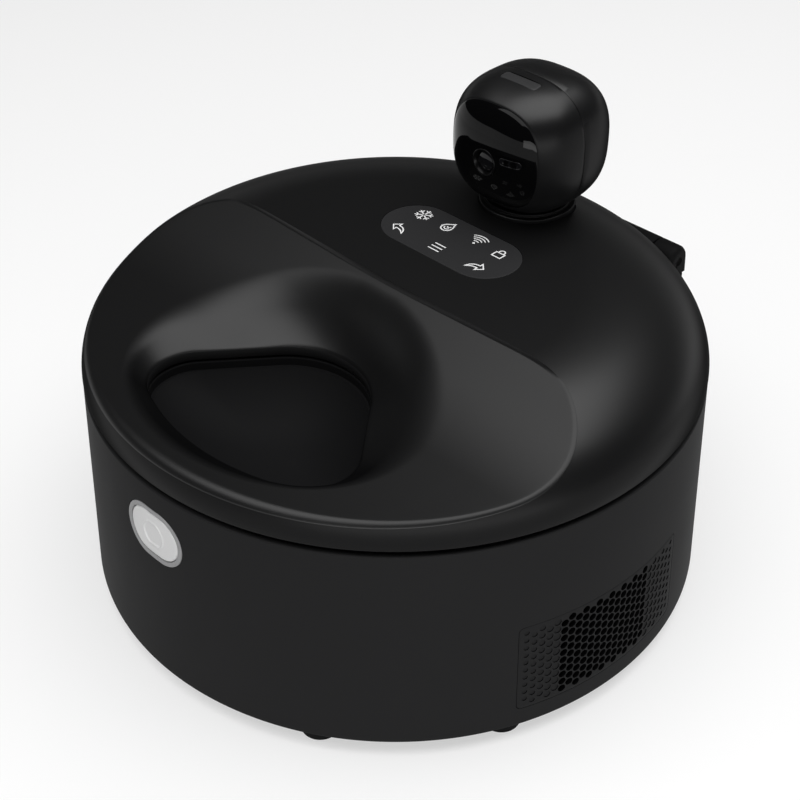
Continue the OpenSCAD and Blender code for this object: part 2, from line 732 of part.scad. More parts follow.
module hinge_bracket() color("#2e2e30") difference() {
    union() {
        hinge_block(bracket_in_r, bracket_top);
        for (s = [-1, 1]) translate([s > 0 ? hinge_half - knuckle_w : -hinge_half, 0, 0]) {
            rod_x(knuckle_r, hinge_y, hinge_z, 0, knuckle_w);
            translate([0, hinge_y - 5, bracket_top - 1])
                cube([knuckle_w, knuckle_r + 5, hinge_z - bracket_top + 1]);
        }
    }
    rod_x(hinge_pin_r + 0.02, hinge_y, hinge_z, -far / 2, far / 2);
}

module hinge_pin() color("silver") rod_x(hinge_pin_r, hinge_y, hinge_z, -hinge_half, hinge_half);

// Arm of the lid that turns on the hinge pin
arm_front = hinge_y - 30;
module hinge_arm() color("#2e2e30") difference() {
    union() {
        rod_x(knuckle_r, hinge_y, hinge_z, -arm_half, arm_half);
        translate([-arm_half, arm_front, cover_top])
            cube([2 * arm_half, hinge_y - arm_front, hinge_z + knuckle_r - cover_top]);
    }
    rod_x(hinge_pin_r + running, hinge_y, hinge_z, -far / 2, far / 2);
}

module body_magnets() color("#c8c8cc")
    for (s = [-1, 1]) translate([s * magnet_x, -magnet_seat_y(), flange_z - magnet_h])
        cylinder(r = magnet_r, h = magnet_h);

module lid_magnets() color("#c8c8cc")
    for (s = [-1, 1]) translate([s * magnet_x, -magnet_seat_y(), cover_bottom])
        cylinder(r = magnet_r, h = magnet_h);

// Half section of the dome, set in by a wall
function dome_half(inset) = [for (a = [0 : 5 : 90])
    [flat_r + (split_r - inset - flat_r) * sin(a),
     split_z + rim_h + (lid_h - inset - rim_h) * cos(a)]];

module lid_dome() color("#1d1d1f") difference() {
    union() {
        rotate_extrude($fn = 180) polygon(concat(
            [[0, lid_top]], dome_half(0),
            [[split_r, split_z + groove / 2], [split_r - lid_wall, split_z + groove / 2]],
            [for (i = [18 : -1 : 0]) dome_half(lid_wall)[i]], [[0, lid_top - lid_wall]]));
        for (p = lid_bosses) translate([p[0], p[1], cover_top])
            cylinder(r = lid_boss_r, h = split_z + dome_z(norm(p) + lid_boss_r) - boss_bite - cover_top);
    }
    slope_cut();
    for (p = lid_bosses) translate([p[0], p[1], cover_top - 1])
        cylinder(r = screw_r + screw_fit, h = screw_len);
    translate([0, touch_y, lid_top - lid_wall - 1]) linear_extrude(lid_wall + 2)
        stadium(touch_half, touch_r + seat / 2);
    translate([0, head_y, collar_bottom - 5]) cylinder(r = collar_r + seat, h = 30);
    translate([-arm_half - seat, arm_front, split_z])
        cube([2 * (arm_half + seat), 60, hinge_z + knuckle_r + seat - split_z]);
    rod_x(knuckle_r + 2 * seat, hinge_y, hinge_z, -hinge_half - seat, hinge_half + seat);
    for (s = [-1, 1]) translate([s * (hinge_half - knuckle_w / 2) - knuckle_w / 2 - seat, 0, 0])
        translate([0, hinge_y - knuckle_r - seat, split_z])
            cube([knuckle_w + 2 * seat, 40, hinge_lift]);
}

// Space over the sloping panel's underside
module slope_cut() {
    low = panel_t + seat;
    steps = 36;
    reach = split_r + 10;
    translate([-far / 2, 0, split_z]) rotate([90, 0, 90]) linear_extrude(far) polygon(concat(
        [for (i = [0 : steps]) let (y = -reach + (reach - panel_back) * i / steps) [y, slope_z(y) - low]],
        [[-panel_back, lid_h + 20], [-reach, lid_h + 20]]));
}

// One section of the panel along a ray: top from edge to lip, the lip, then the underside
panel_rays = 96;
panel_steps = 16;
function panel_section(a) =
    let (d0 = opening_ray(a, 0), d1 = panel_ray(a, 0), d2 = panel_ray(a, panel_t))
    let (reach = min(scoop_ray(a) - d0, 0.95 * (d1 - d0)))
    let (top = function (d) scoop_z(eye + d * heading(a), d - d0, reach))
    let (under = d0 + lip_t)
    concat(
        [for (i = [0 : panel_steps]) let (d = d1 + (d0 - d1) * i / panel_steps)
            [each eye + d * heading(a), split_z + top(d)]],
        [[each eye + d0 * heading(a), cover_bottom], [each eye + under * heading(a), cover_bottom]],
        [for (i = [0 : panel_steps / 2]) let (d = under + (d2 - under) * 2 * i / panel_steps)
            [each eye + d * heading(a), split_z + top(d) - panel_t]]);

module scoop_panel() color("#4b4b4d")
    skin([for (i = [0 : panel_rays - 1]) panel_section(360 * i / panel_rays)], looped = true);

module lid_inner_cover() color("#38383a") difference() {
    union() {
        translate([0, 0, cover_bottom]) cylinder(r = cover_r, h = cover_t, $fn = 180);
        translate([0, head_y, cover_top]) cylinder(r = pan_seat_r, h = pan_motor_z - cover_top);
    }
    translate([0, 0, cover_bottom - 1]) linear_extrude(cover_t + 2)
        polygon(opening_outline(lip_t + seat, panel_rays));
    translate([-far / 2, cover_back, cover_bottom - 1]) cube([far, far, cover_t + 2]);
    for (p = lid_bosses) translate([p[0], p[1], cover_bottom - 1]) {
        cylinder(r = screw_r + seat, h = cover_t + 2);
        cylinder(r = screw_head_r + seat, h = 1 + cover_t / 2);
    }
    for (s = [-1, 1]) translate([s * magnet_x, -magnet_seat_y(), cover_bottom - 1])
        cylinder(r = magnet_r + seat / 2, h = cover_t + 2);
}

module lid_seal() color("#6a6a6c")
    translate([0, 0, flange_z]) tube(seal_out, seal_in, cover_bottom - flange_z, $fn = 180);

module lid_screws() color("silver")
    for (p = lid_bosses) translate([p[0], p[1], cover_bottom]) {
        cylinder(r = screw_head_r, h = cover_t / 2);
        cylinder(r = screw_r, h = screw_len - 2);
    }

module touch_panel() color("#47474a")
    translate([0, touch_y, lid_top - touch_t]) linear_extrude(touch_t) stadium(touch_half, touch_r);

module touch_board() color("#1f5a34")
    translate([0, touch_y, lid_top - touch_t - board_t]) linear_extrude(board_t)
        stadium(touch_half - 2, touch_r - 2);

module camera_collar() color("#29292b") translate([0, head_y, 0]) difference() {
    union() {
        translate([0, 0, collar_bottom]) cylinder(r = collar_r, h = collar_top - 1.5 - collar_bottom);
        translate([0, 0, collar_bottom])
            cylinder(r = collar_r - collar_step, h = collar_top - collar_bottom);
    }
    translate([0, 0, collar_bottom + collar_floor]) cylinder(r = collar_bore, h = 30);
    translate([0, 0, collar_bottom - 1]) cylinder(r = neck_r + running, h = collar_floor + 2);
}

module pan_motor() color("#b4b8bc") translate([0, head_y, pan_motor_z]) difference() {
    cylinder(r = pan_motor_r, h = pan_motor_top - pan_motor_z);
    translate([0, 0, pan_motor_top - pan_motor_z - 8]) cylinder(r = pan_shaft_r + running, h = 10);
}

// Neck that carries the head: a flange inside the head, the neck in its collar, the motor's shaft
neck_flange_z = lid_top + head_gap + head_wall + 1.4;
module camera_spindle() color("#3a3a3c") translate([0, head_y, 0]) {
    translate([0, 0, neck_flange_z]) cylinder(r = neck_r + 3, h = 2);
    translate([0, 0, neck_bottom]) cylinder(r = neck_r, h = neck_flange_z - neck_bottom + 1);
    translate([0, 0, pan_motor_top - 7]) cylinder(r = pan_shaft_r, h = neck_bottom - pan_motor_top + 8);
}

// Rings of the head between two places along Y, at an even turn
function head_rings(y0, y1, inset, steps) =
    let (t0 = head_turn(y0, inset), t1 = head_turn(y1, inset))
    [for (i = [0 : steps]) head_ring(t0 + (t1 - t0) * i / steps, inset)];
near_pole = 0.3;

module neck_hole()
    translate([0, head_y, head_z - head_c - 5]) cylinder(r = neck_r + seat, h = 15);

module strip_space(grow)
    translate([-strip_w / 2 - grow, strip_y - strip_d / 2 - grow, head_z + head_c / 2])
        cube([strip_w + 2 * grow, strip_d + 2 * grow, head_c]);

// Slot of the sensor from a place inside the head forward
module sensor_slot(grow, back)
    translate([sensor_x, back, sensor_z]) rotate([90, 0, 0])
        linear_extrude(20) stadium(sensor_half, sensor_r + grow);

module camera_front_shell() color("#2a2a2c") difference() {
    skin(concat(
        head_rings(window_y, head_seam, 0, 10),
        head_rings(head_seam, window_y, head_wall, 6)), looped = true);
    neck_hole();
    strip_space(seat / 2);
}

module camera_rear_shell() color("#2a2a2c") difference() {
    skin(concat(
        head_rings(head_y + head_b - head_wall - near_pole, head_seam, head_wall, 9),
        head_rings(head_seam, head_y + head_b - near_pole, 0, 14)));
    neck_hole();
}

module camera_window() color("#0b0b0d") difference() {
    skin(concat(
        head_rings(head_face + near_pole, window_y, 0, 10),
        head_rings(window_y, head_face + head_wall + near_pole, head_wall, 7)));
    rod_y(lens_ring_r + seat / 2, 0, lens_z, head_face - 5, head_face + 10);
    sensor_slot(seat / 2, head_face + 10);
}

module lens_ring() color("#2c2c30") translate([0, head_face - 0.2, lens_z]) rotate([-90, 0, 0])
    tube(lens_ring_r, lens_r + seat / 2, 4);

module camera_lens() color("#1a2430") {
    rod_y(lens_r, 0, lens_z, head_face + 0.6, head_face + 4);
    rod_y(lens_r + 1, 0, lens_z, head_face + 4, head_board_y);
}

module sensor_window() color("#050506") intersection() {
    skin(head_rings(head_face + near_pole, window_y, 0, 10));
    sensor_slot(0, head_face + 5);
}

module status_strip() color("#7d7d80") intersection() {
    skin(head_rings(window_y, head_seam, 0, 10));
    strip_space(0);
    translate([-far / 2, 0, head_z + head_c - head_wall - 3]) cube([far, far, far]);
}

module camera_board() color("#1f5a34")
    translate([-head_board_side / 2, head_board_y, head_z - head_board_side / 2])
        cube([head_board_side, board_t, head_board_side]);

outer_shell();
bottom_cover();
rubber_feet();
bottom_screws();
side_grille();
inner_liner();
insulation();
cold_plate();
thermo_module();
heat_sink();
fan_frame();
fan_rotor();
control_board();
power_inlet();
drive_motor();
motor_pinion();
spindle();
thrust_washer();
turntable();
food_tray();
button_bezel();
button_cap();
button_spring();
switch_board();
hinge_bracket();
hinge_pin();
hinge_arm();
body_magnets();
lid_magnets();
lid_dome();
scoop_panel();
lid_inner_cover();
lid_seal();
lid_screws();
touch_panel();
touch_board();
camera_collar();
pan_motor();
camera_spindle();
camera_front_shell();
camera_rear_shell();
camera_window();
lens_ring();
camera_lens();
sensor_window();
status_strip();
camera_board();
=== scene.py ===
"""Automatic wet food feeder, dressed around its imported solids.

Sizes are in millimetres in the feeder's own frame: +Z up, front towards -Y, +X to the right, and
the origin on the ground under the body's axis. A mesh is scaled to metres when it is made.
"""
import json
import math

import bmesh
import bpy
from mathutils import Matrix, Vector


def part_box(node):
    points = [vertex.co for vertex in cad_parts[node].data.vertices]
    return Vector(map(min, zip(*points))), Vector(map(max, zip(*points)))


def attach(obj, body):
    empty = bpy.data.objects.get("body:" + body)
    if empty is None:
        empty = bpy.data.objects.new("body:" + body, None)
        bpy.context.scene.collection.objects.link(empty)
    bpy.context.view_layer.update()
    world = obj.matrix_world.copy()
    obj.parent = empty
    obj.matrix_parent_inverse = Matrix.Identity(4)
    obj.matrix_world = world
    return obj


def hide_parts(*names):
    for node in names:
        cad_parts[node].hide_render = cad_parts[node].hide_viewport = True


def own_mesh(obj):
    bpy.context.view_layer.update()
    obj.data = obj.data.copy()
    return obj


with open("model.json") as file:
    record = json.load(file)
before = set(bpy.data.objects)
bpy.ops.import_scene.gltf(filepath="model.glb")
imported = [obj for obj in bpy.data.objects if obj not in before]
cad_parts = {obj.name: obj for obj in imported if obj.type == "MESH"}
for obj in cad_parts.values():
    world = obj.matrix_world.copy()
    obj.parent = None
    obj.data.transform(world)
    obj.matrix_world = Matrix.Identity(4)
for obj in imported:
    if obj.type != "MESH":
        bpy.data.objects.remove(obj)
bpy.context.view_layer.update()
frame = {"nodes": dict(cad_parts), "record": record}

MM = 0.001

# Room left round a fitted piece
SPARE = 0.3

# Body
BASE_R, SPLIT_R = 155.0, 150.0
FOOT_H, SPLIT_Z, RIM_Z = 8.0, 119.0, 117.5
WALL = 3.0
LEDGE_R, LEDGE_LOW, LEDGE_TOP, LEDGE_FALL = 142.6, 110.0, 113.0, 5.0
FOOT_R, FOOT_RING, FOOT_SPREAD, FOOT_TURN = 9.5, 142.0, math.radians(17), math.radians(2.8)
FOOT_COUNT, FOOT_TALL = 8, 9.4
SOCKET_Z, SOCKET_R = 26.0, 5.3

# Lid
LID_H, FLAT_R, RIM_H, LID_WALL = 41.0, 87.5, 2.6, 3.0
LID_TOP = SPLIT_Z + LID_H
DOME_LOW = SPLIT_Z + 1.5
COVER_LOW = SPLIT_Z + 0.3

# Sloping panel and its opening
PANEL_BACK, INCLINE, INCLINE_RUN = 4.8, math.radians(30), 22.0
BEND_R, BEND_END, SWEEP_R = 90.0, math.radians(5), 530.0
PANEL_T, LIP_TOP, LIP_T, LIP_EDGE = 2.5, 5.5, 2.5, 0.8
SCOOP_HALF_W, SCOOP_HALF_D, SCOOP_STRAIGHT, SCOOP_SHARE = 82.0, 64.5, 0.5, 0.95
EYE_Y, APEX_R, FRONT_R = -73.99, 41.0, 122.5
CORNER_R, CORNER_TURN = 23.0, math.radians(22.5)
PANEL_CORNER = 16.0
PANEL_RAYS = 480
EDGE_FRONT, EDGE_SIDE, EDGE_BACK, EDGE_PULL = 3.4, 1.7, 0.4, 0.6

# Tray
TRAY_R, TRAY_TOP, TRAY_WALL, TRAY_SKIRT = 128.5, 118.0, 2.2, 12.0
POCKET_DEPTH, DISH_POWER, RIM_BAND, COLUMN_R = 26.0, 2.3, 4.7, 18.0
POCKET_TURNS = (0.0, 90.0, 270.0)
BOWL_LIP, TRAY_RAYS = 0.9, 240

# Grille
GRILLE_TURN, GRILLE_SPAN = math.radians(-5.8), math.radians(37.6)
GRILLE_LOW, GRILLE_HIGH, GRILLE_T = 18.5, 68.0, 2.4
GRILLE_CORNER, GRILLE_EDGE, GRILLE_GAP = 2.6, 0.25, 0.16
GRILLE_MIDDLE = (GRILLE_LOW + GRILLE_HIGH) / 2
HOLE_PITCH, HOLE_R, DIMPLE_R, DIMPLE_DEEP = 4.48, 1.98, 0.9, 0.4
HOLE_COLUMNS, HOLE_ROWS, OPEN_MIDDLE, OPEN_HALF, HOLE_FADE = 25, 10, 11.5, 7.0, 7.0

# Button
BUTTON_Z, BUTTON_HALF, BEZEL_R, CAP_R, CAP_GAP = 91.4, 4.5, 14.15, 11.6, 0.25
BEZEL_PROUD, BEZEL_DEEP, CAP_EDGE, CAP_BACK, CAP_ROUND = 0.3, 2.6, 0.1, -145.1, 1.0
RING_R, RING_UP, RING_W, DISH_DEEP, DISH_W = 6.5, 0.5, 0.6, 0.25, 0.25
SPRING_BACK, SPRING_LONG, COIL_R, WIRE_R, PRESS = -135.1, 9.96, 3.7, 0.5, 2.0

# Touch panel
TOUCH_Y, TOUCH_HALF, TOUCH_R, TOUCH_T, TOUCH_EDGE, TOUCH_GAP = 37.6, 22.0, 18.2, 2.0, 0.3, 0.15
SIGN_SCALE, SIGN_LINE, SIGN_SINK = 0.8, 0.8, 0.02
SIGN_UP, SIGN_OVER = 0.05, 0.056

# Camera head
HEAD_A, HEAD_B, HEAD_C, HEAD_POWER = 35.0, 34.3, 33.5, 2.72
HEAD_Y, HEAD_Z, HEAD_WALL = 94.0, 195.5, 2.0
WINDOW_Y, WINDOW_T, WINDOW_EDGE, WINDOW_SINK = 67.3, 2.0, 1.4, 0.3
SEAM_Y, SEAM_START = 92.5, 0.35
SEAM_EDGE = ((0.12, 0.15), (0.05, 0.45))
LENS_Z, LENS_RING_R, LENS_R, LENS_GAP, LENS_HOLE_R = 194.0, 7.0, 5.2, 0.15, 5.35
SENSOR_X, SENSOR_Z, SENSOR_HALF, SENSOR_R = 15.0, 198.0, 3.8, 2.0
STRIP_W, STRIP_D, STRIP_Y, STRIP_CORNER, STRIP_GAP = 22.0, 6.0, 84.0, 1.4, 0.12
NECK_R = 10.3
COLLAR_R, COLLAR_STEP_R, COLLAR_CUP_R, COLLAR_HOLE_R = 24.5, 22.0, 19.5, 10.1
COLLAR_LOW, COLLAR_FLOOR, COLLAR_STEP, COLLAR_TOP = 152.0, 156.0, 162.0, 163.5

# Hinge
HINGE_Y, HINGE_Z, KNUCKLE_R, HINGE_HALF, KNUCKLE_W = 147.0, 125.5, 8.0, 60.0, 14.0
ARM_HALF, ARM_FRONT, ARM_LOW, ARM_HEEL, ARM_TOP = 45.6, 117.0, 121.4, 140.0, 133.5
BLOCK_LOW, BLOCK_TOP, BLOCK_IN, WEB_Y = 99.5, 116.5, 147.37, 142.0

# Reach of the blocks that cut openings
VENT_CUT, BUTTON_CUT, SOCKET_CUT = (138.0, 176.0), (-175.0, -130.0), (135.0, 175.0)
NOTCH_BACK, HINGE_CUT_BACK = 180.0, 170.0

# Camera and light of the photograph, in metres and watts
CAMERA_PLACE, CAMERA_LENS, SENSOR_WIDTH = (0.41873, -0.41873, 0.53878), 67.18, 36.0
CAMERA_PITCH, CAMERA_YAW = math.radians(37.5661), math.radians(0.2053)
OVERHEAD, OVERHEAD_SIZE, OVERHEAD_POWER = (0.128, -0.028, 1.535), (2.71, 1.48), 34.0
OVERHEAD_TURN = math.radians(63.7)
CARD, CARD_AIM, CARD_SIZE, CARD_POWER = (1.17, -0.82, 0.25), (0.0, 0.0, 0.14), (2.4, 0.4), 11.0
ROOM_LIGHT = 0.03
FLOOR_R, FLOOR_RISE, FLOOR_SIDES = 40.0, 2.5, 64
FLOOR_NEAR, FLOOR_FAR, FLOOR_FADE = (0.46, 0.46, 0.46, 1.0), (0.0, 0.0, 0.0, 1.0), (0.75, 1.35)
GLOW_NEAR, GLOW_GAIN = 0.55, 0.45
WHITE = (1.0, 1.0, 1.0, 1.0)

# Steps of a search by halving, the smallest edges kept in metres, and sharp edges in degrees
HALVINGS = 40
MERGE, TINY = 2e-7, 1e-8
SHARP, TREE_SHARP = 35, 40


# Shapes shared by several pieces

def span(start, end, steps):
    """Evenly spaced values from start to end, both included."""
    return [start + (end - start) * k / steps for k in range(steps + 1)]


def turns(count):
    """Angles of a full turn in equal steps."""
    return [2 * math.pi * i / count for i in range(count)]


def quarter(steps):
    """Angles of a quarter turn, both ends included."""
    return [math.pi / 2 * k / steps for k in range(steps + 1)]


def farthest(inside, near, away):
    """Largest distance at which a test holds, found by halving."""
    for _ in range(HALVINGS):
        mid = (near + away) / 2
        if inside(mid):
            near = mid
        else:
            away = mid
    return near


def body_r(z):
    """Radius of the flared body wall at a height."""
    return BASE_R + (SPLIT_R - BASE_R) * (z - FOOT_H) / (SPLIT_Z - FOOT_H)


def slope_z(y):
    """Height of the sloping panel above the split: straight incline, bend and long sweep."""
    y1 = -PANEL_BACK - INCLINE_RUN
    z1 = LID_H - INCLINE_RUN * math.tan(INCLINE)
    bend_y = y1 - BEND_R * math.sin(INCLINE)
    bend_z = z1 + BEND_R * math.cos(INCLINE)
    y2 = bend_y + BEND_R * math.sin(BEND_END)
    z2 = bend_z - BEND_R * math.cos(BEND_END)
    if y > y1:
        return z1 + (y - y1) * math.tan(INCLINE)
    if y > y2:
        return bend_z - math.sqrt(BEND_R ** 2 - (y - bend_y) ** 2)
    sweep_y = y2 - SWEEP_R * math.sin(BEND_END)
    sweep_z = z2 + SWEEP_R * math.cos(BEND_END)
    return sweep_z - math.sqrt(SWEEP_R ** 2 - (y - sweep_y) ** 2)


def dome_z(r):
    """Height of the dome above the split at a distance from the axis."""
    if r <= FLAT_R:
        return LID_H
    u = min(1.0, (r - FLAT_R) / (SPLIT_R - FLAT_R))
    return RIM_H + (LID_H - RIM_H) * math.sqrt(1 - u * u)


def ray_to_circle(dx, dy, cx, cy, r):
    """Distance from the eye of the opening to the far side of a circle."""
    mx, my = cx, cy - EYE_Y
    along = dx * mx + dy * my
    return along + math.sqrt(max(0.0, r * r - mx * mx - my * my + along * along))


def opening_ray(angle):
    """Distance from the eye to the opening's outline."""
    dx, dy = abs(math.cos(angle)), math.sin(angle)
    fold = math.atan2(dy, dx)
    corner_x = (FRONT_R - CORNER_R) * math.sin(CORNER_TURN)
    corner_y = -(FRONT_R - CORNER_R) * math.cos(CORNER_TURN)
    side = math.atan2(corner_y - EYE_Y, corner_x) + math.pi / 2 \
        - math.asin((APEX_R - CORNER_R) / math.hypot(corner_x, corner_y - EYE_Y))
    side_end = math.atan2(corner_y + CORNER_R * math.sin(side) - EYE_Y,
                          corner_x + CORNER_R * math.cos(side))
    spread = FRONT_R / (FRONT_R - CORNER_R)
    front_end = math.atan2(corner_y * spread - EYE_Y, corner_x * spread)
    if fold >= side:
        return APEX_R
    if fold >= side_end:
        return APEX_R / math.cos(fold - side)
    if fold >= front_end:
        return ray_to_circle(dx, dy, corner_x, corner_y, CORNER_R)
    return ray_to_circle(dx, dy, 0.0, 0.0, FRONT_R)


def panel_ray(angle):
    """Distance from the eye to the panel's outer edge, its back corners rounded."""
    dx, dy = math.cos(angle), math.sin(angle)

    def under_dome(d):
        """Whether the panel lies under the dome's surface at a distance."""
        y = EYE_Y + d * dy
        return slope_z(y) <= dome_z(math.hypot(d * dx, y))

    dome = farthest(under_dome, 30.0, 180.0)
    if dy <= 0.05:
        return dome
    back = (-PANEL_BACK - EYE_Y) / dy
    blend = max(PANEL_CORNER - abs(dome - back), 0.0) / PANEL_CORNER
    return min(dome, back) - blend * blend * PANEL_CORNER / 4


def at_ray(angle, distance, z):
    """Point of the lid at a distance along a ray from the eye."""
    return (distance * math.cos(angle), EYE_Y + distance * math.sin(angle), z)


def bezier(a, b, c, d, steps):
    """Points of a curve from a to d, drawn towards b and c, ends included."""
    out = []
    for t in span(0.0, 1.0, steps):
        s = 1 - t
        weights = (s ** 3, 3 * s * s * t, 3 * s * t * t, t ** 3)
        out.append(tuple(sum(w * p[k] for w, p in zip(weights, (a, b, c, d))) for k in range(len(a))))
    return out


def arc(cx, cy, r, start, end, steps):
    """Points of an arc, angles in degrees."""
    angles = [math.radians(degrees) for degrees in span(start, end, steps)]
    return [(cx + r * math.cos(a), cy + r * math.sin(a)) for a in angles]


def back_arc(half, r, steps):
    """Points of a circle round the axis behind it, from one side to the other."""
    return [(x, math.sqrt(r ** 2 - x * x)) for x in span(-half, half, steps)]


def rounded(corners, steps=6):
    """Closed outline through corners given as (x, y, radius)."""
    out = []
    for i, (x, y, r) in enumerate(corners):
        if r <= 0:
            out.append((x, y))
            continue
        here = Vector((x, y))
        back = (Vector(corners[i - 1][:2]) - here).normalized()
        ahead = (Vector(corners[(i + 1) % len(corners)][:2]) - here).normalized()
        half = back.angle(ahead) / 2
        middle = here + (back + ahead).normalized() * (r / math.sin(half))
        start = here + back * (r / math.tan(half)) - middle
        end = here + ahead * (r / math.tan(half)) - middle
        for k in range(steps + 1):
            out.append(tuple(middle + start.lerp(end, k / steps).normalized() * r))
    return out


def rounded_box(half_w, low, high, r, steps):
    """Outline of a rectangle about the middle, its corners rounded."""
    return rounded([(-half_w, low, r), (half_w, low, r), (half_w, high, r), (-half_w, high, r)], steps)


def stadium(half, r, count=128):
    """Outline of a slot shape with round ends, as (across, up)."""
    out = []
    for a in turns(count):
        shift = half if math.cos(a) > 1e-9 else -half if math.cos(a) < -1e-9 else 0.0
        out.append((shift + r * math.cos(a), r * math.sin(a)))
    return out


def slot_at(place, half, r, count=128):
    """Outline of a slot shape whose middle lies on the middle line at a height or depth."""
    return [(x, place + up) for x, up in stadium(half, r, count)]


# Making meshes

def skin(rings, looped=False):
    """Points and faces over rings of equal length; looped joins the last ring to the first."""
    count, size = len(rings), len(rings[0])
    points = [p for ring in rings for p in ring]
    faces = []
    for i in range(count if looped else count - 1):
        here, there = i * size, (i + 1) % count * size
        for j in range(size):
            k = (j + 1) % size
            faces.append((here + j, here + k, there + k, there + j))
    if not looped:
        for start in (0, (count - 1) * size):
            middle = tuple(sum(points[start + j][axis] for j in range(size)) / size for axis in range(3))
            points.append(middle)
            faces += [(start + j, start + (j + 1) % size, len(points) - 1) for j in range(size)]
    return points, faces


def settle(mesh, sharp):
    """Merges doubles, points the faces outwards and keeps only real edges sharp."""
    work = bmesh.new()
    work.from_mesh(mesh)
    bmesh.ops.remove_doubles(work, verts=work.verts, dist=MERGE)
    bmesh.ops.dissolve_degenerate(work, edges=work.edges, dist=TINY)
    bmesh.ops.recalc_face_normals(work, faces=work.faces)
    work.to_mesh(mesh)
    work.free()
    mesh.shade_smooth()
    mesh.set_sharp_from_angle(angle=math.radians(sharp))


def place_object(name, data):
    """New object in the scene."""
    obj = bpy.data.objects.new(name, data)
    bpy.context.scene.collection.objects.link(obj)
    return obj


def drop_object(obj):
    """Deletes an object and its mesh."""
    mesh = obj.data
    bpy.data.objects.remove(obj)
    bpy.data.meshes.remove(mesh)


def piece(name, shape, material=None, sharp=SHARP):
    """New object from points and faces in millimetres."""
    points, faces = shape
    mesh = bpy.data.meshes.new(name)
    mesh.from_pydata([Vector(p) * MM for p in points], [], faces)
    if material:
        mesh.materials.append(material)
    settle(mesh, sharp)
    return place_object(name, mesh)


def bake(obj, sharp):
    """Makes the modifiers' result the object's own mesh."""
    bpy.context.view_layer.update()
    graph = bpy.context.evaluated_depsgraph_get()
    mesh = bpy.data.meshes.new_from_object(obj.evaluated_get(graph))
    old = obj.data
    obj.modifiers.clear()
    obj.data = mesh
    bpy.data.meshes.remove(old)
    mesh.name = obj.name
    settle(mesh, sharp)


def cut(obj, cutters, sharp=SHARP):
    """Takes the cutters' volume out of an object and deletes them."""
    for cutter in cutters:
        step = obj.modifiers.new("cut", "BOOLEAN")
        step.object = cutter
        step.operation = "DIFFERENCE"
        step.solver = "EXACT"
    bake(obj, sharp)
    for cutter in cutters:
        drop_object(cutter)


def joined(name, *objs):
    """One object out of several."""
    work = bmesh.new()
    for obj in objs:
        work.from_mesh(obj.data)
    mesh = bpy.data.meshes.new(name)
    for material in objs[0].data.materials:
        mesh.materials.append(material)
    work.to_mesh(mesh)
    work.free()
    for obj in objs:
        drop_object(obj)
    return place_object(name, mesh)


def turned(profile, segments=360, y=0.0):
    """Closed profile of (radius, z) turned about an upright axis on the middle line."""
    return skin([[(r * math.cos(a), y + r * math.sin(a), z) for r, z in profile]
                 for a in turns(segments)], looped=True)


def turned_forward(profile, z):
    """Closed profile of (radius, y) turned about an axis that runs front to back."""
    return skin([[(r * math.cos(a), y, z + r * math.sin(a)) for r, y in profile]
                 for a in turns(128)], looped=True)


def prism(outline, low, high):
    """Upright prism over an outline in plan."""
    return skin([[(x, y, z) for x, y in outline] for z in (low, high)])


def prism_forward(outline, front, back):
    """Prism from front to back over an outline of (x, z)."""
    return skin([[(x, y, z) for x, z in outline] for y in (front, back)])


def box(low, high):
    """Plain block for cutting."""
    return prism([(low[0], low[1]), (high[0], low[1]), (high[0], high[1]), (low[0], high[1])],
                 low[2], high[2])


def drawn_in(outline, inset):
    """Outline set in along its own normals."""
    count = len(outline)
    area = sum(outline[i - 1][0] * outline[i][1] - outline[i][0] * outline[i - 1][1]
               for i in range(count))
    shift = inset if area > 0 else -inset
    out = []
    for i in range(count):
        tangent = (Vector(outline[(i + 1) % count]) - Vector(outline[i - 1])).normalized()
        out.append((outline[i][0] - tangent.y * shift, outline[i][1] + tangent.x * shift))
    return out


def edge_steps(edge, steps=6):
    """A rounded edge as pairs of (distance from the end, inset), from the end inwards."""
    return [(edge * (1 - math.sin(a)), edge * (1 - math.cos(a))) for a in quarter(steps)[::-1]]


def soft_ends(outline, low, high, low_edge, high_edge):
    """Outlines and their places along a bar whose two ends have rounded edges."""
    ends = [(low + away, inset) for away, inset in edge_steps(low_edge)]
    ends += [(high - away, inset) for away, inset in edge_steps(high_edge)[::-1]]
    return [(place, drawn_in(outline, inset)) for place, inset in ends]


def bar_x(outline, left, right, left_edge, right_edge):
    """Bar along X over an outline of (y, z), both ends with rounded edges."""
    ends = soft_ends(outline, left, right, left_edge, right_edge)
    return skin([[(x, y, z) for y, z in ring] for x, ring in ends])


def slab(outline, low, high, low_edge, high_edge):
    """Upright block over an outline in plan, its lower and upper edges rounded."""
    ends = soft_ends(outline, low, high, low_edge, high_edge)
    return skin([[(x, y, z) for x, y in ring] for z, ring in ends])


def dress(obj, body, slot, *nodes):
    """Ties a piece to its body and hides the solids that it stands for; the slot is not used."""
    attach(obj, body)
    if nodes:
        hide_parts(*nodes)
    return obj


# Node trees

FLOAT, WHOLE = "NodeSocketFloat", "NodeSocketInt"
GEOMETRY, FINISH = "NodeSocketGeometry", "NodeSocketMaterial"

# Sockets of a mix node that carry colours
MIX_FIRST, MIX_SECOND, MIX_RESULT = 6, 7, 2


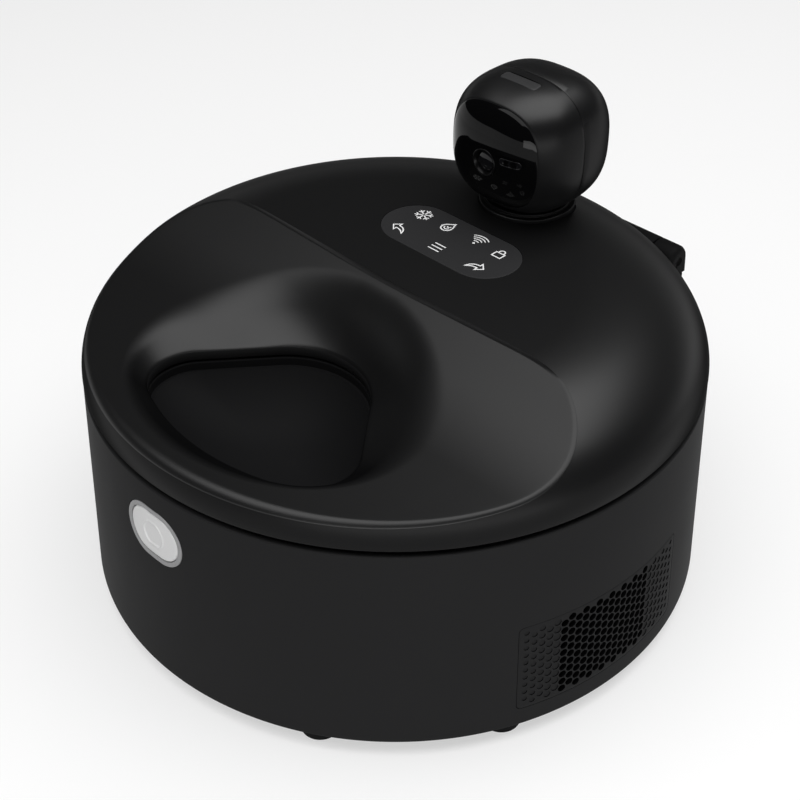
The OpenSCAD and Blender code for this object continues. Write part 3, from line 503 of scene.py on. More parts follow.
class Sheet:
    """Adds nodes to a tree: an input given a socket is linked, and given a value is set."""

    def __init__(self, tree):
        """Keeps the tree that the nodes go into."""
        self.tree = tree

    def put(self, kind, inputs=None, **settings):
        """New node with its settings and inputs."""
        node = self.tree.nodes.new(kind)
        for key, value in settings.items():
            setattr(node, key, value)
        for key, value in (inputs or {}).items():
            self.feed(node, key, value)
        return node

    def get(self, kind, inputs=None, **settings):
        """First output of a new node."""
        return self.put(kind, inputs, **settings).outputs[0]

    def feed(self, node, key, value):
        """Links or sets one input."""
        if isinstance(value, bpy.types.NodeSocket):
            self.tree.links.new(value, node.inputs[key])
        else:
            node.inputs[key].default_value = value

    def math(self, operation, *values):
        """Result of one step of arithmetic."""
        return self.get("ShaderNodeMath", dict(enumerate(values)), operation=operation)

    def plus(self, a, b):
        """Sum of two values."""
        return self.math("ADD", a, b)

    def minus(self, a, b):
        """Difference of two values."""
        return self.math("SUBTRACT", a, b)

    def times(self, a, b):
        """Product of two values."""
        return self.math("MULTIPLY", a, b)

    def over(self, a, b):
        """Quotient of two values."""
        return self.math("DIVIDE", a, b)

    def point(self, x=0.0, y=0.0, z=0.0):
        """Vector out of three values."""
        return self.get("ShaderNodeCombineXYZ", {"X": x, "Y": y, "Z": z})

    def round_point(self, reach, angle, z=0.0):
        """Vector at a distance and an angle about the upright axis."""
        across = self.times(reach, self.math("COSINE", angle))
        return self.point(across, self.times(reach, self.math("SINE", angle)), z)

    def remap(self, value, low, high, to_low=0.0, to_high=1.0, soft=False):
        """A value's range stretched to another, with soft ends if wanted."""
        return self.get("ShaderNodeMapRange",
                        {"Value": value, "From Min": low, "From Max": high,
                         "To Min": to_low, "To Max": to_high},
                        interpolation_type="SMOOTHSTEP" if soft else "LINEAR")

    def blend(self, factor, first, second):
        """Colour between two colours."""
        node = self.put("ShaderNodeMix", {"Factor": factor, MIX_FIRST: first, MIX_SECOND: second},
                        data_type="RGBA")
        return node.outputs[MIX_RESULT]

    def noise(self, place, scale, detail, roughness, distortion=0.0):
        """Height of a noise at a place."""
        return self.put("ShaderNodeTexNoise",
                        {"Vector": place, "Scale": scale, "Detail": detail, "Roughness": roughness,
                         "Distortion": distortion}).outputs["Fac"]

    def coordinate(self, label):
        """Place or direction on the object itself."""
        return self.put("ShaderNodeTexCoord").outputs[label]


def new_group(name, kind, inputs, outputs):
    """Tree with named sockets, its sheet, its inputs by name and its output node."""
    tree = bpy.data.node_groups.new(name, kind)
    for label, socket, value in inputs:
        made = tree.interface.new_socket(label, in_out="INPUT", socket_type=socket)
        if value is not None:
            made.default_value = value
    for label, socket in outputs:
        tree.interface.new_socket(label, in_out="OUTPUT", socket_type=socket)
    sheet = Sheet(tree)
    return tree, sheet, sheet.put("NodeGroupInput").outputs, sheet.put("NodeGroupOutput")


def new_shape_tree(name, wholes, floats):
    """Geometry tree that takes a shape, whole numbers, lengths or angles, and a finish."""
    inputs = [("Geometry", GEOMETRY, None), ("Finish", FINISH, None)]
    inputs += [(label, WHOLE, None) for label in wholes]
    inputs += [(label, FLOAT, None) for label in floats]
    return new_group(name, "GeometryNodeTree", inputs, [("Geometry", GEOMETRY)])


def end_shape_tree(s, given, result, shape):
    """Makes all copies real, gives them the finish and hands them on."""
    whole = s.get("GeometryNodeRealizeInstances", {"Geometry": shape})
    dressed = s.get("GeometryNodeSetMaterial", {"Geometry": whole, "Material": given["Finish"]})
    s.feed(result, "Geometry", dressed)


def run_tree(obj, tree, values):
    """Runs a geometry tree on an object with the given inputs and keeps its result."""
    step = obj.modifiers.new(tree.name, "NODES")
    step.node_group = tree
    for item in tree.interface.items_tree:
        if item.item_type == "SOCKET" and item.in_out == "INPUT" and item.name in values:
            step[item.identifier] = values[item.name]
    bake(obj, TREE_SHARP)


# Finishes

# What wiping takes off the roughness, the share of clear skin that it rubs off, and bump strength
WIPE_GLOSS, WIPE_SKIN, BUMP = 0.1, 0.15, 0.7
# Where a clear skin fades: at glancing angles, and on flanks by how far they face upwards
GLANCE_FADE, FLANK_FADE = (0.45, 0.8), (0.45, 0.8)
GLANCE_ROUGHNESS, GLANCE_LOSS = 0.95, 0.88


def make_mould_grain():
    """Fine spark-eroded skin of a moulded part: its height and a slow drift of tone."""
    tree, s, given, result = new_group(
        "mould_grain", "ShaderNodeTree",
        [("Grains per metre", FLOAT, 2200.0), ("Drift per metre", FLOAT, 14.0)],
        [("Height", FLOAT), ("Tone", FLOAT)])
    place = s.coordinate("Object")
    fine = s.noise(place, given["Grains per metre"], 3.0, 0.6)
    slow = s.noise(place, given["Drift per metre"], 4.0, 0.55)
    pits = s.put("ShaderNodeTexVoronoi", {"Vector": place, "Scale": given["Grains per metre"]},
                 feature="SMOOTH_F1").outputs["Distance"]
    s.feed(result, "Height", s.plus(s.times(fine, 0.6), s.times(pits, 0.4)))
    s.feed(result, "Tone", s.plus(s.times(fine, 0.35), s.times(slow, 0.65)))
    return tree


def make_handling():
    """Faint wiping streaks and smudges left by use, as a mask."""
    tree, s, given, result = new_group(
        "handling_marks", "ShaderNodeTree",
        [("Marks per metre", FLOAT, 25.0), ("Amount", FLOAT, 0.5)], [("Mask", FLOAT)])
    drawn = s.get("ShaderNodeMapping", {"Vector": s.coordinate("Object"), "Rotation": (0.4, 0.3, 0.7),
                                        "Scale": (1.0, 0.25, 0.6)})
    wide = s.noise(drawn, given["Marks per metre"], 5.0, 0.6, 0.8)
    s.feed(result, "Mask", s.times(s.remap(wide, 0.45, 0.8), given["Amount"]))
    return tree


MOULD_GRAIN = make_mould_grain()
HANDLING = make_handling()


def shade(colour, factor):
    """A colour made lighter or darker."""
    return tuple(min(1.0, c * factor) for c in colour) + (1.0,)


def new_finish(name):
    """New material, the sheet of its tree and its surface node."""
    material = bpy.data.materials.new(name)
    material.use_nodes = True
    return material, Sheet(material.node_tree), material.node_tree.nodes["Principled BSDF"]


def moulded(name, colour, roughness, specular, grain, depth, tone=0.12, spread=0.08, marks=0.3,
            metallic=0.0, coat=0.0, matt=False, flank=1.0):
    """Moulded or turned finish: grain in the bump, drift in the colour, wiping in the gloss.

    The clear skin of a matt finish fades where it is seen at a glancing angle, and on steep
    flanks only the given share of it is left.
    """
    material, s, surface = new_finish(name)
    grained = s.put("ShaderNodeGroup", {"Grains per metre": grain}, node_tree=MOULD_GRAIN).outputs
    wiped = s.get("ShaderNodeGroup", {"Amount": marks}, node_tree=HANDLING)
    tint = s.blend(grained["Tone"], shade(colour, 1 - tone), shade(colour, 1 + tone))
    uneven = s.remap(grained["Tone"], 0.0, 1.0, roughness - spread, roughness + spread)
    worn = s.minus(uneven, s.times(wiped, WIPE_GLOSS))
    skin_weight = coat
    if matt:
        glance = s.put("ShaderNodeLayerWeight", {"Blend": 0.5}).outputs["Facing"]
        rim = s.remap(glance, *GLANCE_FADE, soft=True)
        worn = s.plus(worn, s.times(rim, s.minus(GLANCE_ROUGHNESS, worn)))
        upward = s.put("ShaderNodeSeparateXYZ", {0: s.coordinate("Normal")}).outputs["Z"]
        top = s.remap(upward, *FLANK_FADE, to_low=flank, soft=True)
        clear = s.times(s.minus(coat, s.times(wiped, WIPE_SKIN * coat)), top)
        skin_weight = s.times(clear, s.math("MULTIPLY_ADD", rim, -GLANCE_LOSS, 1.0))
    relief = s.get("ShaderNodeBump", {"Strength": BUMP, "Distance": depth * MM,
                                      "Height": grained["Height"]})
    for key, value in (("Base Color", tint), ("Roughness", worn), ("Normal", relief),
                       ("Coat Weight", skin_weight), ("Coat Roughness", roughness),
                       ("Specular IOR Level", specular), ("Metallic", metallic)):
        s.feed(surface, key, value)
    return material


def clear_glass(name, colour, roughness):
    """Dark coated lens glass."""
    material = moulded(name, colour, roughness, 0.16, grain=900.0, depth=0.002, tone=0.3,
                       spread=0.01, marks=0.1, coat=0.25)
    material.node_tree.nodes["Principled BSDF"].inputs["Coat Roughness"].default_value = 0.02
    return material


CHARCOAL = moulded("charcoal_wall", (0.019, 0.019, 0.0195), 0.62, 0.045, grain=2600.0, depth=0.025)
SATIN = moulded("satin_dome", (0.0045, 0.0045, 0.0047), 0.35, 0.02, grain=3200.0, depth=0.006,
                tone=0.08, spread=0.03, coat=0.85, matt=True, flank=0.22)
PANEL = moulded("matte_scoop", (0.0022, 0.0022, 0.0024), 0.405, 0.02, grain=2400.0, depth=0.01,
                tone=0.07, spread=0.03, coat=0.82, matt=True)
TOUCH = moulded("touch_slate", (0.022, 0.022, 0.023), 0.5, 0.2, grain=2800.0, depth=0.006,
                tone=0.06, matt=True)
PRINT = moulded("printed_white", (0.9, 0.9, 0.9), 0.55, 0.3, grain=3000.0, depth=0.004, tone=0.02)
TRAY = moulded("tray_black", (0.0075, 0.0075, 0.0079), 0.68, 0.06, grain=2600.0, depth=0.006,
               tone=0.1, matt=True)
# Lighter black for the lip band, a lit copy of the panel's dark finish: painted light.
LIP_PAINTED_LIGHT = moulded("lip_painted_light", (0.019, 0.019, 0.0195), 0.5, 0.08, grain=2400.0, depth=0.006, tone=0.07)
GLOSS = moulded("window_gloss", (0.0018, 0.0018, 0.002), 0.05, 0.14, grain=1500.0, depth=0.0008,
                tone=0.2, spread=0.015, marks=0.2)
SHELL = moulded("camera_shell", (0.0065, 0.0065, 0.0068), 0.35, 0.02, grain=3000.0, depth=0.008,
                tone=0.1, spread=0.03, coat=0.82, matt=True, flank=0.22)
# Darker black for the grille's hole walls and rim: painted shade in the holes.
HOLE_PAINTED_SHADE = moulded("hole_wall_painted_shade", (0.0025, 0.0025, 0.0027), 0.7, 0.04, grain=2600.0, depth=0.006, tone=0.1)
RING = moulded("lens_ring_black", (0.003, 0.003, 0.0032), 0.3, 0.12, grain=2000.0, depth=0.004,
               tone=0.1)
BLACK = moulded("black_inside", (0.008, 0.008, 0.0085), 0.55, 0.3, grain=2000.0, depth=0.02)
BEZEL = moulded("bezel_grey", (0.33, 0.33, 0.335), 0.42, 0.3, grain=2600.0, depth=0.006, tone=0.05)
BUTTON = moulded("button_white", (0.85, 0.85, 0.85), 0.42, 0.35, grain=2600.0, depth=0.004, tone=0.03)
STRIP = moulded("strip_grey", (0.03, 0.03, 0.031), 0.45, 0.25, grain=2600.0, depth=0.008, tone=0.08)
GEAR = moulded("gear_plastic", (0.55, 0.54, 0.5), 0.5, 0.35, grain=1800.0, depth=0.012)
BOARD = moulded("circuit_green", (0.012, 0.075, 0.03), 0.42, 0.4, grain=700.0, depth=0.02, tone=0.35)
FOAM = moulded("insulation_foam", (0.42, 0.42, 0.4), 0.85, 0.15, grain=900.0, depth=0.3)
CERAMIC = moulded("module_ceramic", (0.72, 0.72, 0.7), 0.5, 0.35, grain=1600.0, depth=0.008)
RUBBER = moulded("foot_rubber", (0.007, 0.007, 0.0073), 0.78, 0.08, grain=1600.0, depth=0.03, tone=0.2)
STEEL = moulded("zinc_steel", (0.55, 0.55, 0.56), 0.32, 0.5, grain=1800.0, depth=0.006, metallic=1.0)
MAGNET = moulded("magnet_nickel", (0.6, 0.59, 0.57), 0.25, 0.5, grain=1500.0, depth=0.004, metallic=1.0)
ALUMINIUM = moulded("liner_aluminium", (0.6, 0.6, 0.61), 0.38, 0.5, grain=1200.0, depth=0.01,
                    metallic=1.0)
LENS = clear_glass("lens_glass_dark", (0.005, 0.005, 0.0058), 0.04)
HINGE = moulded("hinge_black", (0.0055, 0.0055, 0.0058), 0.6, 0.06, grain=2600.0, depth=0.008,
                tone=0.1, matt=True)

SLOT_FINISH = {
    "charcoal": CHARCOAL, "satin_black": SATIN, "panel_grey": PANEL, "touch_grey": TOUCH, "tray": TRAY,
    "gloss_black": GLOSS, "black_plastic": BLACK, "bezel": BEZEL, "button": BUTTON, "strip_grey": STRIP,
    "gear_plastic": GEAR, "board": BOARD, "foam": FOAM, "ceramic": CERAMIC, "rubber": RUBBER,
    "steel": STEEL, "magnet": MAGNET, "aluminium": ALUMINIUM, "lens_glass": LENS}


# Body

def grille_half():
    """Half the grille's length along the wall."""
    return GRILLE_SPAN / 2 * body_r(GRILLE_MIDDLE)


def grille_outline():
    """Outline of the grille's opening as (arc along the wall, height), in short steps."""
    corners = rounded_box(grille_half() + GRILLE_GAP, GRILLE_LOW - GRILLE_GAP,
                          GRILLE_HIGH + GRILLE_GAP, GRILLE_CORNER + GRILLE_GAP, 8)
    out = []
    for a, b in zip(corners, corners[1:] + corners[:1]):
        count = max(1, round(math.dist(a, b) / 3))
        out += list(zip(span(a[0], b[0], count), span(a[1], b[1], count)))[:-1]
    return out


def on_wall(along, z, r):
    """Point at a place of the grille's outline and a distance from the axis."""
    a = GRILLE_TURN + along / body_r(GRILLE_MIDDLE)
    return (r * math.cos(a), r * math.sin(a), z)


def make_body_wall():
    """Flared wall with rounded edges, its ledge and its openings."""
    outer_low, outer_top = body_r(FOOT_H), body_r(RIM_Z)
    under_ledge = LEDGE_LOW - LEDGE_FALL
    profile = rounded([
        (outer_low, FOOT_H, 1.4), (outer_top, RIM_Z, 0.9), (outer_top - WALL, RIM_Z, 0.5),
        (body_r(LEDGE_TOP) - WALL, LEDGE_TOP, 0), (LEDGE_R, LEDGE_TOP, 0.3), (LEDGE_R, LEDGE_LOW, 0),
        (body_r(under_ledge) - WALL, under_ledge, 0), (outer_low - WALL, FOOT_H, 0.5)])
    wall = piece("body_wall", turned(profile), CHARCOAL)
    outline = grille_outline()
    vent = skin([[on_wall(along, z, r) for along, z in outline] for r in VENT_CUT])
    button = prism_forward(slot_at(BUTTON_Z, BUTTON_HALF, BEZEL_R + SPARE), *BUTTON_CUT)
    half = HINGE_HALF + SPARE
    notch = back_arc(half, BLOCK_IN - SPARE, 40) + [(half, NOTCH_BACK), (-half, NOTCH_BACK)]
    notch = prism(notch, BLOCK_LOW - SPARE, SPLIT_Z + 4)
    socket = prism_forward(slot_at(SOCKET_Z, 0, SOCKET_R, 48), *SOCKET_CUT)
    cut(wall, [piece("space", shape) for shape in (vent, button, notch, socket)])
    dress(wall, "base", "charcoal", "outer_shell")


def grille_slab():
    """Flat plate of the grille in (arc, height, depth), finely divided so that it can be bent."""
    half, tall = grille_half(), (GRILLE_HIGH - GRILLE_LOW) / 2
    across, up = 52, 26
    wide = across + 1
    count = wide * (up + 1)

    def plate(depth, inset):
        """Points of one layer, its corners drawn in to rounds."""
        core_x, core_y = half - inset - GRILLE_CORNER, tall - inset - GRILLE_CORNER
        layer = []
        for j in range(up + 1):
            for i in range(across + 1):
                x = (2 * i / across - 1) * (half - inset)
                y = (2 * j / up - 1) * (tall - inset)
                past_x, past_y = abs(x) - core_x, abs(y) - core_y
                if past_x > 0 and past_y > 0:
                    pull = max(past_x, past_y) / math.hypot(past_x, past_y)
                    x = math.copysign(core_x + past_x * pull, x)
                    y = math.copysign(core_y + past_y * pull, y)
                layer.append((x, y, depth))
        return layer

    eased = GRILLE_EDGE * 0.3
    points = plate(0.0, GRILLE_EDGE) + plate(-eased, eased) + plate(-GRILLE_EDGE, 0.0)
    points += plate(-GRILLE_T, 0.0)
    faces = []
    for top, flip in ((0, False), (3 * count, True)):
        for j in range(up):
            for i in range(across):
                a = top + j * wide + i
                quad = (a, a + 1, a + 1 + wide, a + wide)
                faces.append(quad[::-1] if flip else quad)
    border = list(range(wide)) + [j * wide + across for j in range(1, up + 1)] \
        + [up * wide + i for i in range(across - 1, -1, -1)] + [j * wide for j in range(up - 1, 0, -1)]
    for upper in (0, count, 2 * count):
        lower = upper + count
        for a, b in zip(border, border[1:] + border[:1]):
            faces.append((upper + a, lower + a, lower + b, upper + b))
    return points, faces


def make_grille_tree():
    """Punches staggered holes that fade into dimples through a flat plate and bends it round."""
    tree, s, given, result = new_shape_tree(
        "vent_holes", ("Columns", "Rows"),
        ("Pitch", "Open middle", "Open half", "Fade", "Hole radius", "Dimple radius", "Plate",
         "Dimple depth", "Turn", "Bend radius", "Middle height", "Wall slope"))
    spots = s.get("GeometryNodePoints", {"Count": s.times(given["Columns"], given["Rows"])})
    index = s.get("GeometryNodeInputIndex")
    column = s.math("FLOOR", s.over(index, given["Rows"]))
    row = s.minus(index, s.times(column, given["Rows"]))
    odd = s.math("MODULO", column, 2.0)
    half_columns = s.times(s.minus(given["Columns"], 1.0), 0.5)
    half_rows = s.times(s.minus(given["Rows"], 1.0), 0.5)
    x = s.times(s.minus(column, half_columns), s.times(given["Pitch"], math.sqrt(3) / 2))
    lift = s.minus(0.25, s.times(odd, 0.5))
    y = s.times(s.plus(s.minus(row, half_rows), lift), given["Pitch"])
    off = s.minus(s.math("ABSOLUTE", s.minus(column, given["Open middle"])), given["Open half"])
    size = s.remap(off, 0.0, given["Fade"], given["Hole radius"], given["Dimple radius"])
    deep = s.get("GeometryNodeSwitch",
                 {"Switch": s.math("LESS_THAN", off, 0.0), "False": s.times(given["Dimple depth"], 2.0),
                  "True": s.times(given["Plate"], 4.0)}, input_type="FLOAT")
    placed = s.get("GeometryNodeSetPosition", {"Geometry": spots, "Position": s.point(x, y)})
    punch = s.get("GeometryNodeMeshCylinder", {"Vertices": 16, "Radius": 1.0, "Depth": 1.0})
    punches = s.get("GeometryNodeInstanceOnPoints",
                    {"Points": placed, "Instance": punch, "Scale": s.point(size, size, deep)})
    loose = s.get("GeometryNodeRealizeInstances", {"Geometry": punches})
    punched = s.get("GeometryNodeMeshBoolean", {"Mesh 1": given["Geometry"], "Mesh 2": loose},
                    operation="DIFFERENCE", solver="EXACT")
    flat = s.put("ShaderNodeSeparateXYZ", {"Vector": s.get("GeometryNodeInputPosition")}).outputs
    angle = s.plus(given["Turn"], s.over(flat["X"], given["Bend radius"]))
    reach = s.plus(s.plus(given["Bend radius"], flat["Z"]), s.times(flat["Y"], given["Wall slope"]))
    bent = s.round_point(reach, angle, s.plus(given["Middle height"], flat["Y"]))
    wrapped = s.get("GeometryNodeSetPosition", {"Geometry": punched, "Position": bent})
    end_shape_tree(s, given, result, wrapped)
    return tree


def make_vent_grille():
    """Perforated grille, flush in the body wall; faces that don't face outwards take a darker black, painted
    shade in its holes.
    """
    grille = piece("vent_grille", grille_slab(), CHARCOAL)
    run_tree(grille, make_grille_tree(), {
        "Pitch": HOLE_PITCH * MM, "Columns": HOLE_COLUMNS, "Rows": HOLE_ROWS, "Finish": CHARCOAL,
        "Open middle": OPEN_MIDDLE, "Open half": OPEN_HALF, "Fade": HOLE_FADE,
        "Hole radius": HOLE_R * MM, "Dimple radius": DIMPLE_R * MM, "Plate": GRILLE_T * MM,
        "Dimple depth": DIMPLE_DEEP * MM, "Turn": GRILLE_TURN, "Middle height": GRILLE_MIDDLE * MM,
        "Bend radius": body_r(GRILLE_MIDDLE) * MM,
        "Wall slope": (SPLIT_R - BASE_R) / (SPLIT_Z - FOOT_H)})
    grille.data.materials.append(HOLE_PAINTED_SHADE)
    # Faces that don't face outwards (hole and dimple walls, the plate's rim) take the darker black: painted
    # shade.
    for face in grille.data.polygons:
        outwards = Vector((face.center.x, face.center.y, 0)).normalized()
        if abs(face.normal.dot(outwards)) < 0.6:
            face.material_index = len(grille.data.materials) - 1
    dress(grille, "base", "charcoal", "side_grille")


def on_front(x, z, proud):
    """Point in front of the body wall by a distance, at a place about the button's middle."""
    up = BUTTON_Z + z
    return (x, -math.sqrt(body_r(up) ** 2 - x * x) - proud, up)


def front_slot(r, proud):
    """Slot-shaped ring round the button's middle that follows the wall."""
    return [on_front(x, z, proud) for x, z in stadium(BUTTON_HALF, r)]


def make_button():
    """Bezel ring let into the wall, and the push button with its raised ring."""
    wide = BEZEL_R - CAP_R - CAP_GAP
    outer = bezier((0.0, -0.1), (0.0, 0.15), (-0.15, BEZEL_PROUD), (-0.45, BEZEL_PROUD), 5)
    inner = bezier((-wide + 0.6, BEZEL_PROUD), (-wide + 0.2, BEZEL_PROUD), (-wide, 0.1), (-wide, -0.3), 5)
    section = [(0.0, -BEZEL_DEEP)] + outer + inner + [(-wide, -BEZEL_DEEP)]
    rings = [front_slot(BEZEL_R + offset, proud) for offset, proud in section]
    bezel = piece("button_frame", skin(rings, looped=True), BEZEL)
    dress(bezel, "base", "bezel", "button_bezel")

    rings = [[(x, CAP_BACK, BUTTON_Z + z) for x, z in stadium(BUTTON_HALF, CAP_R)]]
    for away, inset in edge_steps(CAP_ROUND, 8)[::-1]:
        rings.append(front_slot(CAP_R - inset, CAP_EDGE - away))
    steps = 60
    for k in range(1, steps + 1):
        share = 1 - k / (steps + 0.5)
        ring = []
        for x, z in stadium(BUTTON_HALF * share, (CAP_R - CAP_ROUND) * share):
            past = math.hypot(x, z) - RING_R
            raised = RING_UP * math.exp(-(past / RING_W) ** 2)
            dished = DISH_DEEP / (1 + math.exp(past / DISH_W))
            ring.append(on_front(x, z, CAP_EDGE + raised - dished))
        rings.append(ring)
    cap = piece("push_button", skin(rings), BUTTON)
    dress(cap, "button", "button", "button_cap")


def make_spring():
    """Coil spring behind the push button."""
    coils, steps, sides = 5, 28, 10
    rings = []
    for k in range(coils * steps + 1):
        a = 2 * math.pi * k / steps
        y = SPRING_BACK - WIRE_R - (SPRING_LONG - 2 * WIRE_R) * k / (coils * steps)
        ring = []
        for b in turns(sides):
            r = COIL_R + WIRE_R * math.cos(b)
            ring.append((r * math.cos(a), y + WIRE_R * math.sin(b), BUTTON_Z + r * math.sin(a)))
        rings.append(ring)
    coil = dress(piece("return_coil", skin(rings), STEEL, 60), "base", "steel", "button_spring")
    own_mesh(coil)


def make_foot_tree():
    """Sets one shape round the axis, as many in each quarter, spread about its middle."""
    tree, s, given, result = new_shape_tree("round_the_bottom", ("Count",), ("Ring", "Spread", "Turn"))
    spots = s.get("GeometryNodePoints", {"Count": given["Count"]})
    index = s.get("GeometryNodeInputIndex")
    per = s.over(given["Count"], 4.0)
    side = s.math("FLOOR", s.over(index, per))
    within = s.minus(s.minus(index, s.times(side, per)), s.times(s.minus(per, 1.0), 0.5))
    middle = s.plus(given["Turn"], s.times(s.plus(side, 0.5), math.pi / 2))
    angle = s.plus(middle, s.times(within, s.times(given["Spread"], 2.0)))
    spot = s.round_point(given["Ring"], angle)
    placed = s.get("GeometryNodeSetPosition", {"Geometry": spots, "Position": spot})
    copies = s.get("GeometryNodeInstanceOnPoints",
                   {"Points": placed, "Instance": given["Geometry"], "Rotation": s.point(z=angle)})
    end_shape_tree(s, given, result, copies)
    return tree


def make_feet():
    """Rubber feet in pairs under the body's edge, as tall as their solids."""
    outline = rounded([(0.0, 0.0, 0), (FOOT_R, 0.0, 1.8), (FOOT_R, FOOT_TALL, 0.4), (0.0, FOOT_TALL, 0)])
    low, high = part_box("rubber_feet")
    outline = [(r, z * (high[2] - low[2]) / MM / FOOT_TALL) for r, z in outline]
    feet = piece("foot_pads", turned(outline, 48), RUBBER)
    run_tree(feet, make_foot_tree(), {"Count": FOOT_COUNT, "Ring": FOOT_RING * MM, "Finish": RUBBER,
                                      "Spread": FOOT_SPREAD, "Turn": FOOT_TURN})
    dress(feet, "base", "rubber", "rubber_feet")


# Lid

def dome_at(angle, distance):
    """Height of the dome at a distance along a ray from the eye."""
    x, y, _ = at_ray(angle, distance, 0)
    return dome_z(math.hypot(x, y))


def slope_at(angle, distance):
    """Height of the slope at a distance along a ray from the eye."""
    return slope_z(EYE_Y + distance * math.sin(angle))


def edge_run(angle):
    """Run of the soft edge between panel and dome: longest at the front, short at the back."""
    ahead = -math.sin(angle)
    if ahead > 0:
        return EDGE_SIDE + (EDGE_FRONT - EDGE_SIDE) * ahead
    return EDGE_SIDE + (EDGE_SIDE - EDGE_BACK) * ahead


def edge_ends(angle, outer):
    """Distances at which the soft edge starts on the dome and ends on the panel."""
    run, step = edge_run(angle), 0.1
    fall = (dome_at(angle, outer + step) - dome_at(angle, outer)) / step
    rise = (slope_at(angle, outer) - slope_at(angle, outer - step)) / step
    return outer + run / math.hypot(1, fall), outer - run / math.hypot(1, rise)


def panel_top(angle, distance, inner, reach):
    """Height of the panel's top, drawn down softly to the opening."""
    u = min(1.0, (distance - inner) / reach)
    if u < SCOOP_STRAIGHT:
        share = 2 * u / (1 + SCOOP_STRAIGHT)
    else:
        share = 1 - (1 - u) ** 2 / (1 - SCOOP_STRAIGHT ** 2)
    return LIP_TOP + (slope_at(angle, distance) - LIP_TOP) * share


def panel_section(angle):
    """Closed section of the panel along a ray: soft edge, top, lip, then the underside."""
    inner, outer = opening_ray(angle), panel_ray(angle)
    scoop = 1 / math.hypot(math.cos(angle) / SCOOP_HALF_W, math.sin(angle) / SCOOP_HALF_D)
    reach = min(scoop - inner, SCOOP_SHARE * (outer - inner))

    def top(d):
        """Height of the top along this ray."""
        return panel_top(angle, d, inner, reach)

    far, near = edge_ends(angle, outer)
    start, end, crest = (far, dome_at(angle, far)), (near, top(near)), (outer, top(outer))
    pull = [tuple(p + EDGE_PULL * (c - p) for p, c in zip(point, crest)) for point in (start, end)]
    section = bezier(start, pull[0], pull[1], end, 12)
    last = inner + LIP_EDGE
    section += [(d, top(d)) for d in span(near, last, 56)[1:]]
    section += bezier((last, top(last)), (inner + 0.35 * LIP_EDGE, LIP_TOP - 0.05),
                      (inner, LIP_TOP - 0.2), (inner, LIP_TOP - LIP_EDGE), 6)[1:]
    low = COVER_LOW - SPLIT_Z
    section += [(inner, low + 0.3), (inner + 0.3, low), (inner + LIP_T, low)]
    section += [(d, max(low, top(d) - PANEL_T)) for d in span(inner + LIP_T, outer - 0.5, 20)]
    section.append((far, dome_at(angle, far) - 1.2))
    return [at_ray(angle, d, SPLIT_Z + z) for d, z in section]


def make_scoop_panel():
    """Matte sloping panel with its soft edge and scoop; the lip's upright faces take a lighter black,
    painted light on the lip band.
    """
    rings = [panel_section(a) for a in turns(PANEL_RAYS)]
    panel = piece("scoop_face", skin(rings, looped=True), PANEL, 50)
    panel.data.materials.append(LIP_PAINTED_LIGHT)
    lip_crest = (SPLIT_Z + LIP_TOP - 0.5 * LIP_EDGE) * MM
    # Upright faces of the lip take the lighter black: painted light on the lip band.
    for face in panel.data.polygons:
        if abs(face.normal.z) < 0.5 and face.center.z < lip_crest:
            face.material_index = 1
    dress(panel, "lid", "panel_grey", "scoop_panel")


def make_dome():
    """Lid shell: flat top, round shoulder, cut out for the panel, touch panel, collar and hinge."""
    shoulder, rise, rim = SPLIT_R - FLAT_R, LID_H - RIM_H, SPLIT_Z + RIM_H
    profile = [(0.0, LID_TOP), (FLAT_R * 0.5, LID_TOP)]
    profile += [(FLAT_R + shoulder * math.sin(a), rim + rise * math.cos(a)) for a in quarter(56)]
    profile += bezier((SPLIT_R, DOME_LOW + 0.8), (SPLIT_R, DOME_LOW + 0.3), (SPLIT_R - 0.3, DOME_LOW),
                      (SPLIT_R - 0.8, DOME_LOW), 5)
    profile.append((SPLIT_R - LID_WALL, DOME_LOW))
    profile += [(FLAT_R + (shoulder - LID_WALL) * math.sin(a), rim + (rise - LID_WALL) * math.cos(a))
                for a in quarter(28)[::-1]]
    profile.append((0.0, LID_TOP - LID_WALL))
    dome = piece("lid_shell", turned(profile), SATIN)

    outline = [at_ray(a, edge_ends(a, panel_ray(a))[0] + 0.05, 0)[:2] for a in turns(PANEL_RAYS)]
    panel = prism(outline, SPLIT_Z - 10, LID_TOP + 20)
    touch = prism(slot_at(TOUCH_Y, TOUCH_HALF, TOUCH_R + TOUCH_GAP), LID_TOP - 10, LID_TOP + 10)
    collar = prism(slot_at(HEAD_Y, 0, COLLAR_R + SPARE, 160), LID_TOP - 30, LID_TOP + 10)
    low = SPLIT_Z - 2
    arm = box((-ARM_HALF - SPARE, ARM_FRONT, low), (ARM_HALF + SPARE, HINGE_CUT_BACK, ARM_TOP + SPARE))
    outer, inner = HINGE_HALF + SPARE, HINGE_HALF - KNUCKLE_W - SPARE
    round_room = [(HINGE_Y + y, HINGE_Z + z) for y, z in stadium(0, KNUCKLE_R + 2 * SPARE, 96)]
    barrel = skin([[(x, y, z) for y, z in round_room] for x in (-outer, outer)])
    front = HINGE_Y - KNUCKLE_R - SPARE
    left = box((-outer, front, low), (-inner, HINGE_CUT_BACK, HINGE_Z))
    right = box((inner, front, low), (outer, HINGE_CUT_BACK, HINGE_Z))
    shapes = (panel, touch, collar, arm, barrel, left, right)
    cut(dome, [piece("space", shape) for shape in shapes], 30)
    dress(dome, "lid", "satin_black", "lid_dome")


